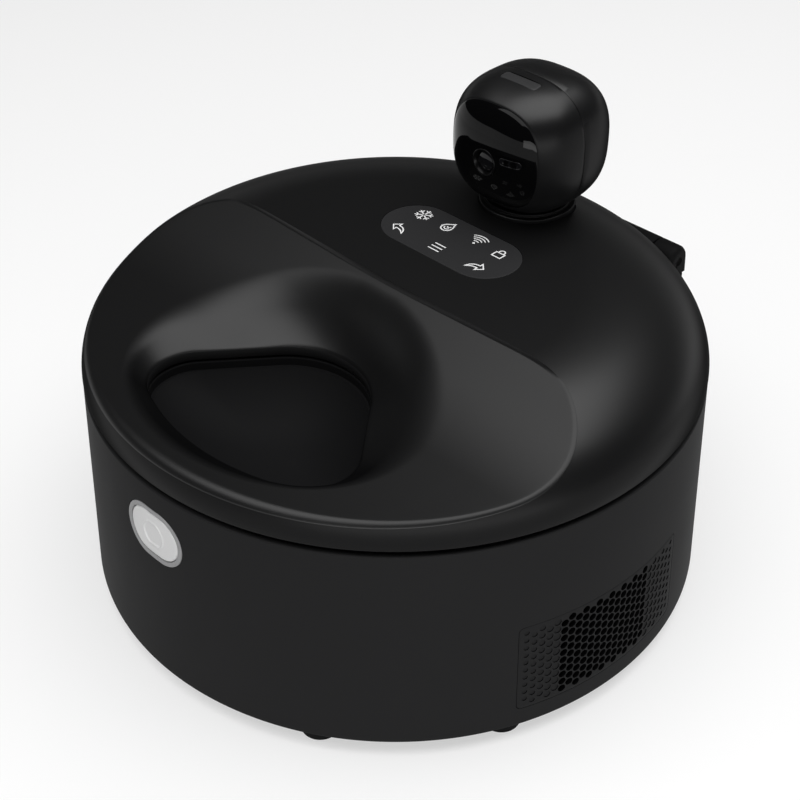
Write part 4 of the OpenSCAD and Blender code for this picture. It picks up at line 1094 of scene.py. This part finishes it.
def make_touch_panel():
    """Slot-shaped touch plate, flush in the lid's top."""
    edge = TOUCH_EDGE
    section = [(edge * 3, LID_TOP)]
    section += bezier((edge, LID_TOP), (edge * 0.4, LID_TOP), (0.0, LID_TOP - edge * 0.4),
                      (0.0, LID_TOP - edge), 4)
    section.append((0.0, LID_TOP - TOUCH_T))
    rings = [[(x, y, z) for x, y in slot_at(TOUCH_Y, TOUCH_HALF, TOUCH_R - inset)] for inset, z in section]
    plate = piece("touch_plate", skin(rings), TOUCH)
    dress(plate, "lid", "touch_grey", "touch_panel")


def ribbon(points, width, closed, height):
    """Thin raised line along a path on the touch plate."""
    low, high = LID_TOP - SIGN_SINK, LID_TOP + height
    rings = []
    count = len(points)
    for i, (x, y) in enumerate(points):
        before = points[i - 1] if closed or i else points[i]
        after = points[(i + 1) % count] if closed or i < count - 1 else points[i]
        here = Vector((x, y))
        a = (here - Vector(before)).normalized() if before != points[i] else None
        b = (Vector(after) - here).normalized() if after != points[i] else None
        a, b = a or b, b or a
        tangent = (a + b).normalized() if (a + b).length > 1e-6 else b
        normal = Vector((-tangent.y, tangent.x))
        spread = width / 2 / max(0.45, normal.dot(Vector((-b.y, b.x))))
        left, right = here + normal * spread, here - normal * spread
        rings.append([(left.x, left.y, low), (left.x, left.y, high),
                      (right.x, right.y, high), (right.x, right.y, low)])
    return skin(rings, looped=closed)


def make_pictograms():
    """Generic printed signs: frost, drop, signal, lock, back, list and forward."""
    parts = []

    def draw(path, at, width=SIGN_LINE, closed=False, height=SIGN_UP):
        """Adds one line of a sign, drawn round the sign's middle."""
        path = [(at[0] + x * SIGN_SCALE, at[1] + y * SIGN_SCALE) for x, y in path]
        parts.append(piece("sign", ribbon(path, width * SIGN_SCALE, closed, height), PRINT))

    at = (-25.9, 46.0)
    for k in range(6):
        a = math.radians(60 * k + 30)
        u, v = math.cos(a), math.sin(a)
        draw([(0.9 * u, 0.9 * v), (6.0 * u, 6.0 * v)], at, 0.85)
        for side in (-1, 1):
            b = a + side * math.radians(55)
            tip = (3.6 * u + 2.3 * math.cos(b), 3.6 * v + 2.3 * math.sin(b))
            draw([(3.6 * u, 3.6 * v), tip], at, 0.75, height=SIGN_OVER)

    at = (-9.5, 46.0)
    drop = [(1.5, 5.4)] + bezier((0.6, 4.3), (-1.1, 3.1), (-4.0, 1.4), (-3.8, -1.1), 10)
    drop += arc(-0.2, -1.1, 3.6, 180, 340, 16)
    drop += bezier((3.3, -2.0), (4.0, 0.4), (2.4, 2.4), (2.0, 4.0), 8)[1:]
    draw(drop, at, 0.9, closed=True)
    draw(bezier((-2.0, -0.5), (-1.8, -3.2), (1.4, -3.4), (1.8, -1.2), 12), at)
    draw(bezier((-0.6, 0.5), (0.0, -1.5), (1.2, -0.4), (1.7, 1.1), 10), at, height=SIGN_OVER)

    at = (9.5, 47.4)
    for k in range(4):
        draw(arc(0, -4.6, 2.9 + 2.15 * k, 50, 130, 18), at, 0.75)
    draw(arc(0, -4.5, 0.5, 0, 330, 8), at, 0.7, closed=True)

    at = (25.2, 45.3)
    shackle = [(-1.9, 0.9), (-1.9, 2.0)] + arc(0, 2.0, 1.9, 180, 0, 14) + [(1.9, 0.9)]
    draw([(-3.2, 0.8), (3.2, 0.8), (3.2, -4.0), (-3.2, -4.0)], at, closed=True)
    draw(shackle, at, height=SIGN_OVER)

    for k in (-1, 0, 1):
        draw([(-4.3, 3.2 * k), (4.3, 3.2 * k)], (-0.4, 28.6))

    back = [(-5.4, 0.6), (-1.6, 4.5), (-1.6, 2.1)]
    back += bezier((-0.9, 2.0), (2.2, 1.8), (4.6, 0.0), (5.4, -3.8), 10)
    back += bezier((3.4, -2.1), (2.1, -1.1), (0.4, -0.9), (-1.6, -0.8), 8)[1:] + [(-1.6, -3.3)]
    draw(back, (-26.0, 28.6), closed=True)
    draw([(-x, y) for x, y in back], (24.4, 29.2), closed=True)
    dress(joined("touch_signs", *parts), "lid", "button")


# Camera head

def signed_power(value, power):
    """Power of a value's size, with the value's sign."""
    return math.copysign(abs(value) ** power, value)


def head_ring(turn, inset):
    """Ring of the head at a turn about its front-to-back axis, set in by a wall."""
    e = 2 / HEAD_POWER
    y = HEAD_Y + (HEAD_B - inset) * signed_power(math.sin(turn), e)
    s = max(0.0, math.cos(turn)) ** e
    return [((HEAD_A - inset) * s * signed_power(math.cos(a), e), y,
             HEAD_Z + (HEAD_C - inset) * s * signed_power(math.sin(a), e)) for a in turns(192)]


def head_turn(y, inset):
    """Turn at which a ring lies at a given Y."""
    v = (y - HEAD_Y) / (HEAD_B - inset)
    return math.asin(max(-1.0, min(1.0, signed_power(v, HEAD_POWER / 2))))


def head_left(a, b):
    """What the head's rounded form leaves for one axis after its shares along the other two."""
    return 1 - abs(a) ** HEAD_POWER - abs(b) ** HEAD_POWER


def head_front(x, z, inset):
    """Y of the head's front surface over a place, or None outside it."""
    left = head_left(x / (HEAD_A - inset), (z - HEAD_Z) / (HEAD_C - inset))
    if left <= 0:
        return None
    return HEAD_Y - (HEAD_B - inset) * left ** (1 / HEAD_POWER)


def head_top(x, y):
    """Z of the head's upper surface over a place."""
    left = head_left(x / HEAD_A, (y - HEAD_Y) / HEAD_B)
    return HEAD_Z + HEAD_C * max(0.0, left) ** (1 / HEAD_POWER)


def shell_ring(y, inset):
    """Ring of the head at a given Y."""
    return head_ring(head_turn(y, inset), inset)


def shell_rings(start, end, inset, steps):
    """Rings of the head from one turn to another."""
    return [head_ring(turn, inset) for turn in span(start, end, steps)]


def neck_space():
    """Block that opens the head's bottom for its neck."""
    low = HEAD_Z - HEAD_C
    return piece("space", prism(slot_at(HEAD_Y, 0, NECK_R, 96), low - 5, low + 10))


def strip_outline(grow):
    """Outline of the grey strip on the head's top, in plan."""
    deep = STRIP_D / 2 + grow
    return rounded_box(STRIP_W / 2 + grow, STRIP_Y - deep, STRIP_Y + deep, STRIP_CORNER + grow, 6)


def make_camera_shells():
    """Front and rear shells of the head, with a fine seam between them."""
    seam_in = SEAM_EDGE[-1][0]
    front = [shell_ring(WINDOW_Y + 0.1, 0.5), shell_ring(WINDOW_Y + 0.15, 0.2)]
    front += shell_rings(head_turn(WINDOW_Y + 0.5, 0.0), head_turn(SEAM_Y - SEAM_START, 0.0), 0.0, 30)
    front += [shell_ring(SEAM_Y - away, inset) for away, inset in SEAM_EDGE]
    front += shell_rings(head_turn(SEAM_Y - seam_in, HEAD_WALL), head_turn(WINDOW_Y + 0.1, HEAD_WALL),
                         HEAD_WALL, 12)
    shell = piece("camera_face_shell", skin(front, looped=True), SHELL)
    slot = piece("space", prism(strip_outline(STRIP_GAP), HEAD_Z + 15, HEAD_Z + 40))
    cut(shell, [slot, neck_space()])
    dress(shell, "camera", "satin_black", "camera_front_shell")

    pole = math.pi / 2
    rear = shell_rings(pole, head_turn(SEAM_Y + seam_in, HEAD_WALL), HEAD_WALL, 14)
    rear += [shell_ring(SEAM_Y + away, inset) for away, inset in SEAM_EDGE[::-1]]
    rear += shell_rings(head_turn(SEAM_Y + SEAM_START, 0.0), pole, 0.0, 36)
    shell = piece("camera_back_shell", skin(rear), SHELL)
    cut(shell, [neck_space()])
    dress(shell, "camera", "satin_black", "camera_rear_shell")


def make_camera_window():
    """Glossy window over the front of the head, its edge polished round."""
    hole, behind, soft = LENS_RING_R + LENS_GAP, WINDOW_Y + 0.5, 7
    rings = []
    for a in turns(192):

        def in_window(d):
            """Whether a place at a distance from the lens's middle belongs to the window."""
            y = head_front(d * math.cos(a), LENS_Z + d * math.sin(a), 0.0)
            return y is not None and y <= WINDOW_Y - 0.1

        def surface(d, inset):
            """Point of the window at a distance from the lens's middle."""
            x, z = d * math.cos(a), LENS_Z + d * math.sin(a)
            y = head_front(x, z, inset)
            return (x, behind if y is None else min(y, behind), z)

        reach = farthest(in_window, 5.0, 45.0)
        ring = [surface(reach - WINDOW_EDGE * (k / soft) ** 2, WINDOW_SINK * (1 - k / soft) ** 2)
                for k in range(soft)]
        ring += [surface(d, 0.0) for d in span(reach - WINDOW_EDGE, hole, 34)]
        ring += [surface(d, WINDOW_T) for d in span(hole, reach - WINDOW_T, 10)]
        rings.append(ring)
    window = piece("camera_glass", skin(rings, looped=True), GLOSS, 40)
    dress(window, "camera", "gloss_black", "camera_window")


def make_camera_details():
    """Lens ring, lens, sensor window and the grey strip."""
    face = head_front(0.0, LENS_Z, 0.0)
    outline = rounded([(LENS_RING_R, face + 3.8, 0), (LENS_RING_R, face - 0.2, 0.35),
                       (6.2, face - 0.2, 0.3), (LENS_HOLE_R, face + 1.1, 0),
                       (LENS_HOLE_R, face + 3.8, 0)], 5)
    ring = piece("lens_bezel", turned_forward(outline, LENS_Z), RING)
    dress(ring, "camera", "satin_black", "lens_ring")

    bulge = [(0.0, face + 4.0)]
    bulge += [(LENS_R * math.sin(0.9 * a), face + 0.5 + 1.44 * (1 - math.cos(0.9 * a))) for a in quarter(14)]
    bulge += [(LENS_R, face + 2.2), (LENS_R, face + 4.0)]
    lens = piece("lens_glass", turned_forward(bulge, LENS_Z), LENS)
    dress(lens, "camera", "lens_glass", "camera_lens")

    section = ((0.0, 1.0), (0.0, -0.04), (0.12, -0.08), (0.35, -0.08), (0.5, -0.03), (1.0, -0.03),
               (1.9, -0.03))
    rings = []
    for inset, sink in section:
        outline = [(SENSOR_X + x, SENSOR_Z + z) for x, z in stadium(SENSOR_HALF, SENSOR_R - inset, 64)]
        rings.append([(x, head_front(x, z, 0.0) + sink, z) for x, z in outline])
    sensor = piece("sensor_cover", skin(rings), LENS)
    dress(sensor, "camera", "lens_glass", "sensor_window")

    section = ((0.0, 3.2), (0.0, 0.25), (0.1, 0.08), (0.3, 0.0), (1.2, 0.0), (2.2, 0.0), (3.0, 0.0))
    half_w, half_d = STRIP_W / 2, STRIP_D / 2
    rings = []
    for inset, sink in section:
        wide, deep = (half_w - inset) / half_w, max(0.02, (half_d - inset) / half_d)
        outline = [(x * wide, STRIP_Y + (y - STRIP_Y) * deep) for x, y in strip_outline(0.0)]
        rings.append([(x, y, head_top(x, y) - sink) for x, y in outline])
    strip = piece("grey_strip", skin(rings), STRIP)
    dress(strip, "camera", "strip_grey", "status_strip")


def make_collar():
    """Stepped round collar that the head turns on."""
    profile = rounded([
        (COLLAR_R, COLLAR_LOW, 0.3), (COLLAR_R, COLLAR_STEP, 0.7), (COLLAR_STEP_R, COLLAR_STEP, 0.25),
        (COLLAR_STEP_R, COLLAR_TOP, 0.6), (COLLAR_CUP_R, COLLAR_TOP, 0.3),
        (COLLAR_CUP_R, COLLAR_FLOOR, 0.2), (COLLAR_HOLE_R, COLLAR_FLOOR, 0),
        (COLLAR_HOLE_R, COLLAR_LOW, 0)])
    collar = piece("collar_ring", turned(profile, 192, HEAD_Y), SATIN)
    dress(collar, "lid", "satin_black", "camera_collar")


# Tray

def bowl_section(angle):
    """Closed section of a food bowl along a ray: rim, step, dish and underside."""
    inner = opening_ray(angle)
    floor, step_z = TRAY_TOP - POCKET_DEPTH, TRAY_TOP - RIM_BAND
    deep, wall = step_z - floor, inner - 1.1
    under, under_wall = floor - TRAY_WALL, wall + TRAY_WALL
    section = bezier((inner + BOWL_LIP, TRAY_TOP), (inner + 0.4, TRAY_TOP), (inner, TRAY_TOP - 0.4),
                     (inner, TRAY_TOP - BOWL_LIP), 6)
    section += bezier((inner, step_z + 0.4), (inner, step_z), (inner - 0.2, step_z),
                      (inner - 0.7, step_z), 4)
    section += [(wall * u, floor + deep * u ** DISH_POWER) for u in span(1.0, 0.0, 26)]
    section += [(under_wall * u, under + deep * u ** DISH_POWER) for u in span(0.0, 1.0, 14)]
    section.append((inner + BOWL_LIP, TRAY_TOP - TRAY_WALL))
    return section


def turned_point(point, degrees):
    """Point turned about the upright axis."""
    a = math.radians(degrees)
    x, y, z = point
    return (x * math.cos(a) - y * math.sin(a), x * math.sin(a) + y * math.cos(a), z)


def make_tray():
    """Turning tray: a disc with three bowls let into it and a column for the spindle."""
    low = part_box("food_tray")[0][2] / MM
    skirt, under = TRAY_TOP - TRAY_SKIRT, TRAY_TOP - TRAY_WALL
    profile = rounded([
        (0.0, TRAY_TOP, 0), (TRAY_R, TRAY_TOP, 1.0), (TRAY_R, skirt, 0.4),
        (TRAY_R - TRAY_WALL, skirt, 0.4), (TRAY_R - TRAY_WALL, under, 0), (COLUMN_R, under, 0),
        (COLUMN_R, low, 0.4), (COLUMN_R - TRAY_WALL, low, 0.4), (COLUMN_R - TRAY_WALL, under, 0),
        (0.0, under, 0)], 4)
    disc = piece("tray_disc", turned(profile, TRAY_RAYS), TRAY)
    angles = turns(TRAY_RAYS)
    spaces, bowls = [], []
    for turn in POCKET_TURNS:
        outline = [turned_point(at_ray(a, opening_ray(a) + BOWL_LIP - 0.01, 0), turn)[:2] for a in angles]
        spaces.append(piece("space", prism(outline, TRAY_TOP - 30, TRAY_TOP + 5)))
        rays = [[turned_point(at_ray(a, d, z), turn) for d, z in bowl_section(a)] for a in angles]
        bowls.append(piece("bowl", skin(list(map(list, zip(*rays))), looped=True), TRAY))
    cut(disc, spaces)
    tray = joined("food_bowls", disc, *bowls)
    tray.data.set_sharp_from_angle(angle=math.radians(SHARP))
    dress(tray, "turntable", "tray", "food_tray")


# Hinge

def knuckle_arc(start, end, steps):
    """Points of a knuckle's round in (y, z), angles in degrees from the back."""
    return arc(HINGE_Y, HINGE_Z, KNUCKLE_R, start, end, steps)


def make_hinge():
    """Lid arm with its barrel, and the bracket with its two knuckles."""
    outline = knuckle_arc(90, -148, 34)
    outline += [(ARM_HEEL, ARM_LOW), (ARM_FRONT + 0.6, ARM_LOW), (ARM_FRONT, ARM_LOW + 0.6),
                (ARM_FRONT, ARM_TOP - 1.5), (ARM_FRONT + 1.5, ARM_TOP)]
    arm = piece("hinge_lid_arm", bar_x(outline, -ARM_HALF, ARM_HALF, 0.6, 0.6), HINGE)
    dress(arm, "lid", "satin_black", "hinge_arm")

    back = HINGE_Y + KNUCKLE_R
    foot = math.degrees(math.acos((HINGE_Y - WEB_Y) / KNUCKLE_R))
    outline = knuckle_arc(180, 0, 26) + [(back, BLOCK_TOP - 1), (WEB_Y, BLOCK_TOP - 1)]
    outline += knuckle_arc(180 + foot, 181, 8)
    inner = HINGE_HALF - KNUCKLE_W
    right = piece("knuckle", bar_x(outline, inner, HINGE_HALF, 0.5, 3.5), HINGE)
    left = piece("knuckle", bar_x(outline, -HINGE_HALF, -inner, 3.5, 0.5), HINGE)
    front = back_arc(HINGE_HALF, BLOCK_IN, 48)[::-1]
    ends = rounded([(-HINGE_HALF, front[-1][1], 0), (-HINGE_HALF, back, 5.0), (HINGE_HALF, back, 5.0),
                    (HINGE_HALF, front[0][1], 0)], 8)
    block = piece("block", slab(front[1:-1] + ends, BLOCK_LOW, BLOCK_TOP, 1.2, 1.2), HINGE)
    bracket = joined("hinge_mount", block, right, left)
    bracket.data.set_sharp_from_angle(angle=math.radians(SHARP))
    dress(bracket, "base", "satin_black", "hinge_bracket")


# Staging

def make_camera():
    """Camera of the photograph: place, pitch, heading and lens."""
    level = math.cos(CAMERA_PITCH)
    heading = CAMERA_YAW - math.pi / 4
    look = Vector((math.sin(heading) * level, math.cos(heading) * level, -math.sin(CAMERA_PITCH)))
    data = bpy.data.cameras.new("photo_camera")
    data.sensor_width = SENSOR_WIDTH
    data.lens = CAMERA_LENS
    data.clip_start = 0.02
    camera = place_object("photo_camera", data)
    camera.location = CAMERA_PLACE
    camera.rotation_euler = look.to_track_quat("-Z", "Y").to_euler()
    bpy.context.scene.camera = camera


def make_floor():
    """Pale floor that keeps the feeder's shadow and reads white to the camera."""
    material, s, surface = new_finish("pale_floor")
    away = s.put("ShaderNodeVectorMath", {0: s.coordinate("Object")}, operation="LENGTH")
    fade = s.remap(away.outputs["Value"], *FLOOR_FADE, soft=True)
    s.feed(surface, "Base Color", s.blend(fade, FLOOR_NEAR, FLOOR_FAR))
    s.feed(surface, "Roughness", 0.9)
    s.feed(surface, "Specular IOR Level", 0.0)
    path = s.put("ShaderNodeLightPath").outputs
    mirrored = s.math("MAXIMUM", path["Is Glossy Ray"], path["Is Transmission Ray"])
    seen = s.math("MAXIMUM", path["Is Camera Ray"], mirrored)
    level = s.times(seen, s.math("MULTIPLY_ADD", fade, GLOW_GAIN, GLOW_NEAR))
    glow = s.get("ShaderNodeEmission", {"Color": WHITE, "Strength": level})
    both = s.get("ShaderNodeAddShader", {0: surface.outputs[0], 1: glow})
    s.feed(material.node_tree.nodes["Material Output"], "Surface", both)

    mesh = bpy.data.meshes.new("floor")
    points = [(FLOOR_R * math.cos(a), FLOOR_R * math.sin(a), z)
              for z in (0.0, FLOOR_RISE) for a in turns(FLOOR_SIDES)]
    faces = [tuple(range(FLOOR_SIDES))]
    for k in range(FLOOR_SIDES):
        ahead = (k + 1) % FLOOR_SIDES
        faces.append((ahead, k, FLOOR_SIDES + k, FLOOR_SIDES + ahead))
    mesh.from_pydata(points, [], faces)
    mesh.materials.append(material)
    place_object("floor", mesh)


def soft_lamp(name, place, size, watts):
    """Rectangular softbox at a place, facing straight down."""
    lamp = bpy.data.lights.new(name, "AREA")
    lamp.shape = "RECTANGLE"
    lamp.size, lamp.size_y = size
    lamp.energy = watts
    obj = place_object(name, lamp)
    obj.location = place
    return obj


def make_light():
    """One large softbox overhead, turned across the view, and a long low card in front."""
    overhead = soft_lamp("overhead", OVERHEAD, OVERHEAD_SIZE, OVERHEAD_POWER)
    overhead.rotation_euler = (0.0, 0.0, OVERHEAD_TURN)
    card = soft_lamp("low_front", CARD, CARD_SIZE, CARD_POWER)
    card.rotation_euler = (Vector(CARD_AIM) - Vector(CARD)).to_track_quat("-Z", "Y").to_euler()
    world = bpy.data.worlds.new("studio")
    bpy.context.scene.world = world
    world.use_nodes = True
    room = world.node_tree.nodes["Background"]
    room.inputs["Color"].default_value = WHITE
    room.inputs["Strength"].default_value = ROOM_LIGHT


def dress_solids():
    """Gives every solid its finish, by its slot in the record."""
    slots = {part["node"]: part["material_slot"] for part in frame["record"]["subparts"]}
    for name, obj in frame["nodes"].items():
        finish = SLOT_FINISH.get(slots.get(name, ""), BLACK)
        if not obj.material_slots:
            obj.data.materials.append(finish)
        for place in obj.material_slots:
            place.material = finish


bpy.context.scene.view_settings.view_transform = "Standard"
make_camera()
make_floor()
make_light()
dress_solids()
make_body_wall()
make_vent_grille()
make_button()
make_spring()
make_feet()
make_scoop_panel()
make_dome()
make_touch_panel()
make_pictograms()
make_camera_shells()
make_camera_window()
make_camera_details()
make_collar()
make_tray()
make_hinge()
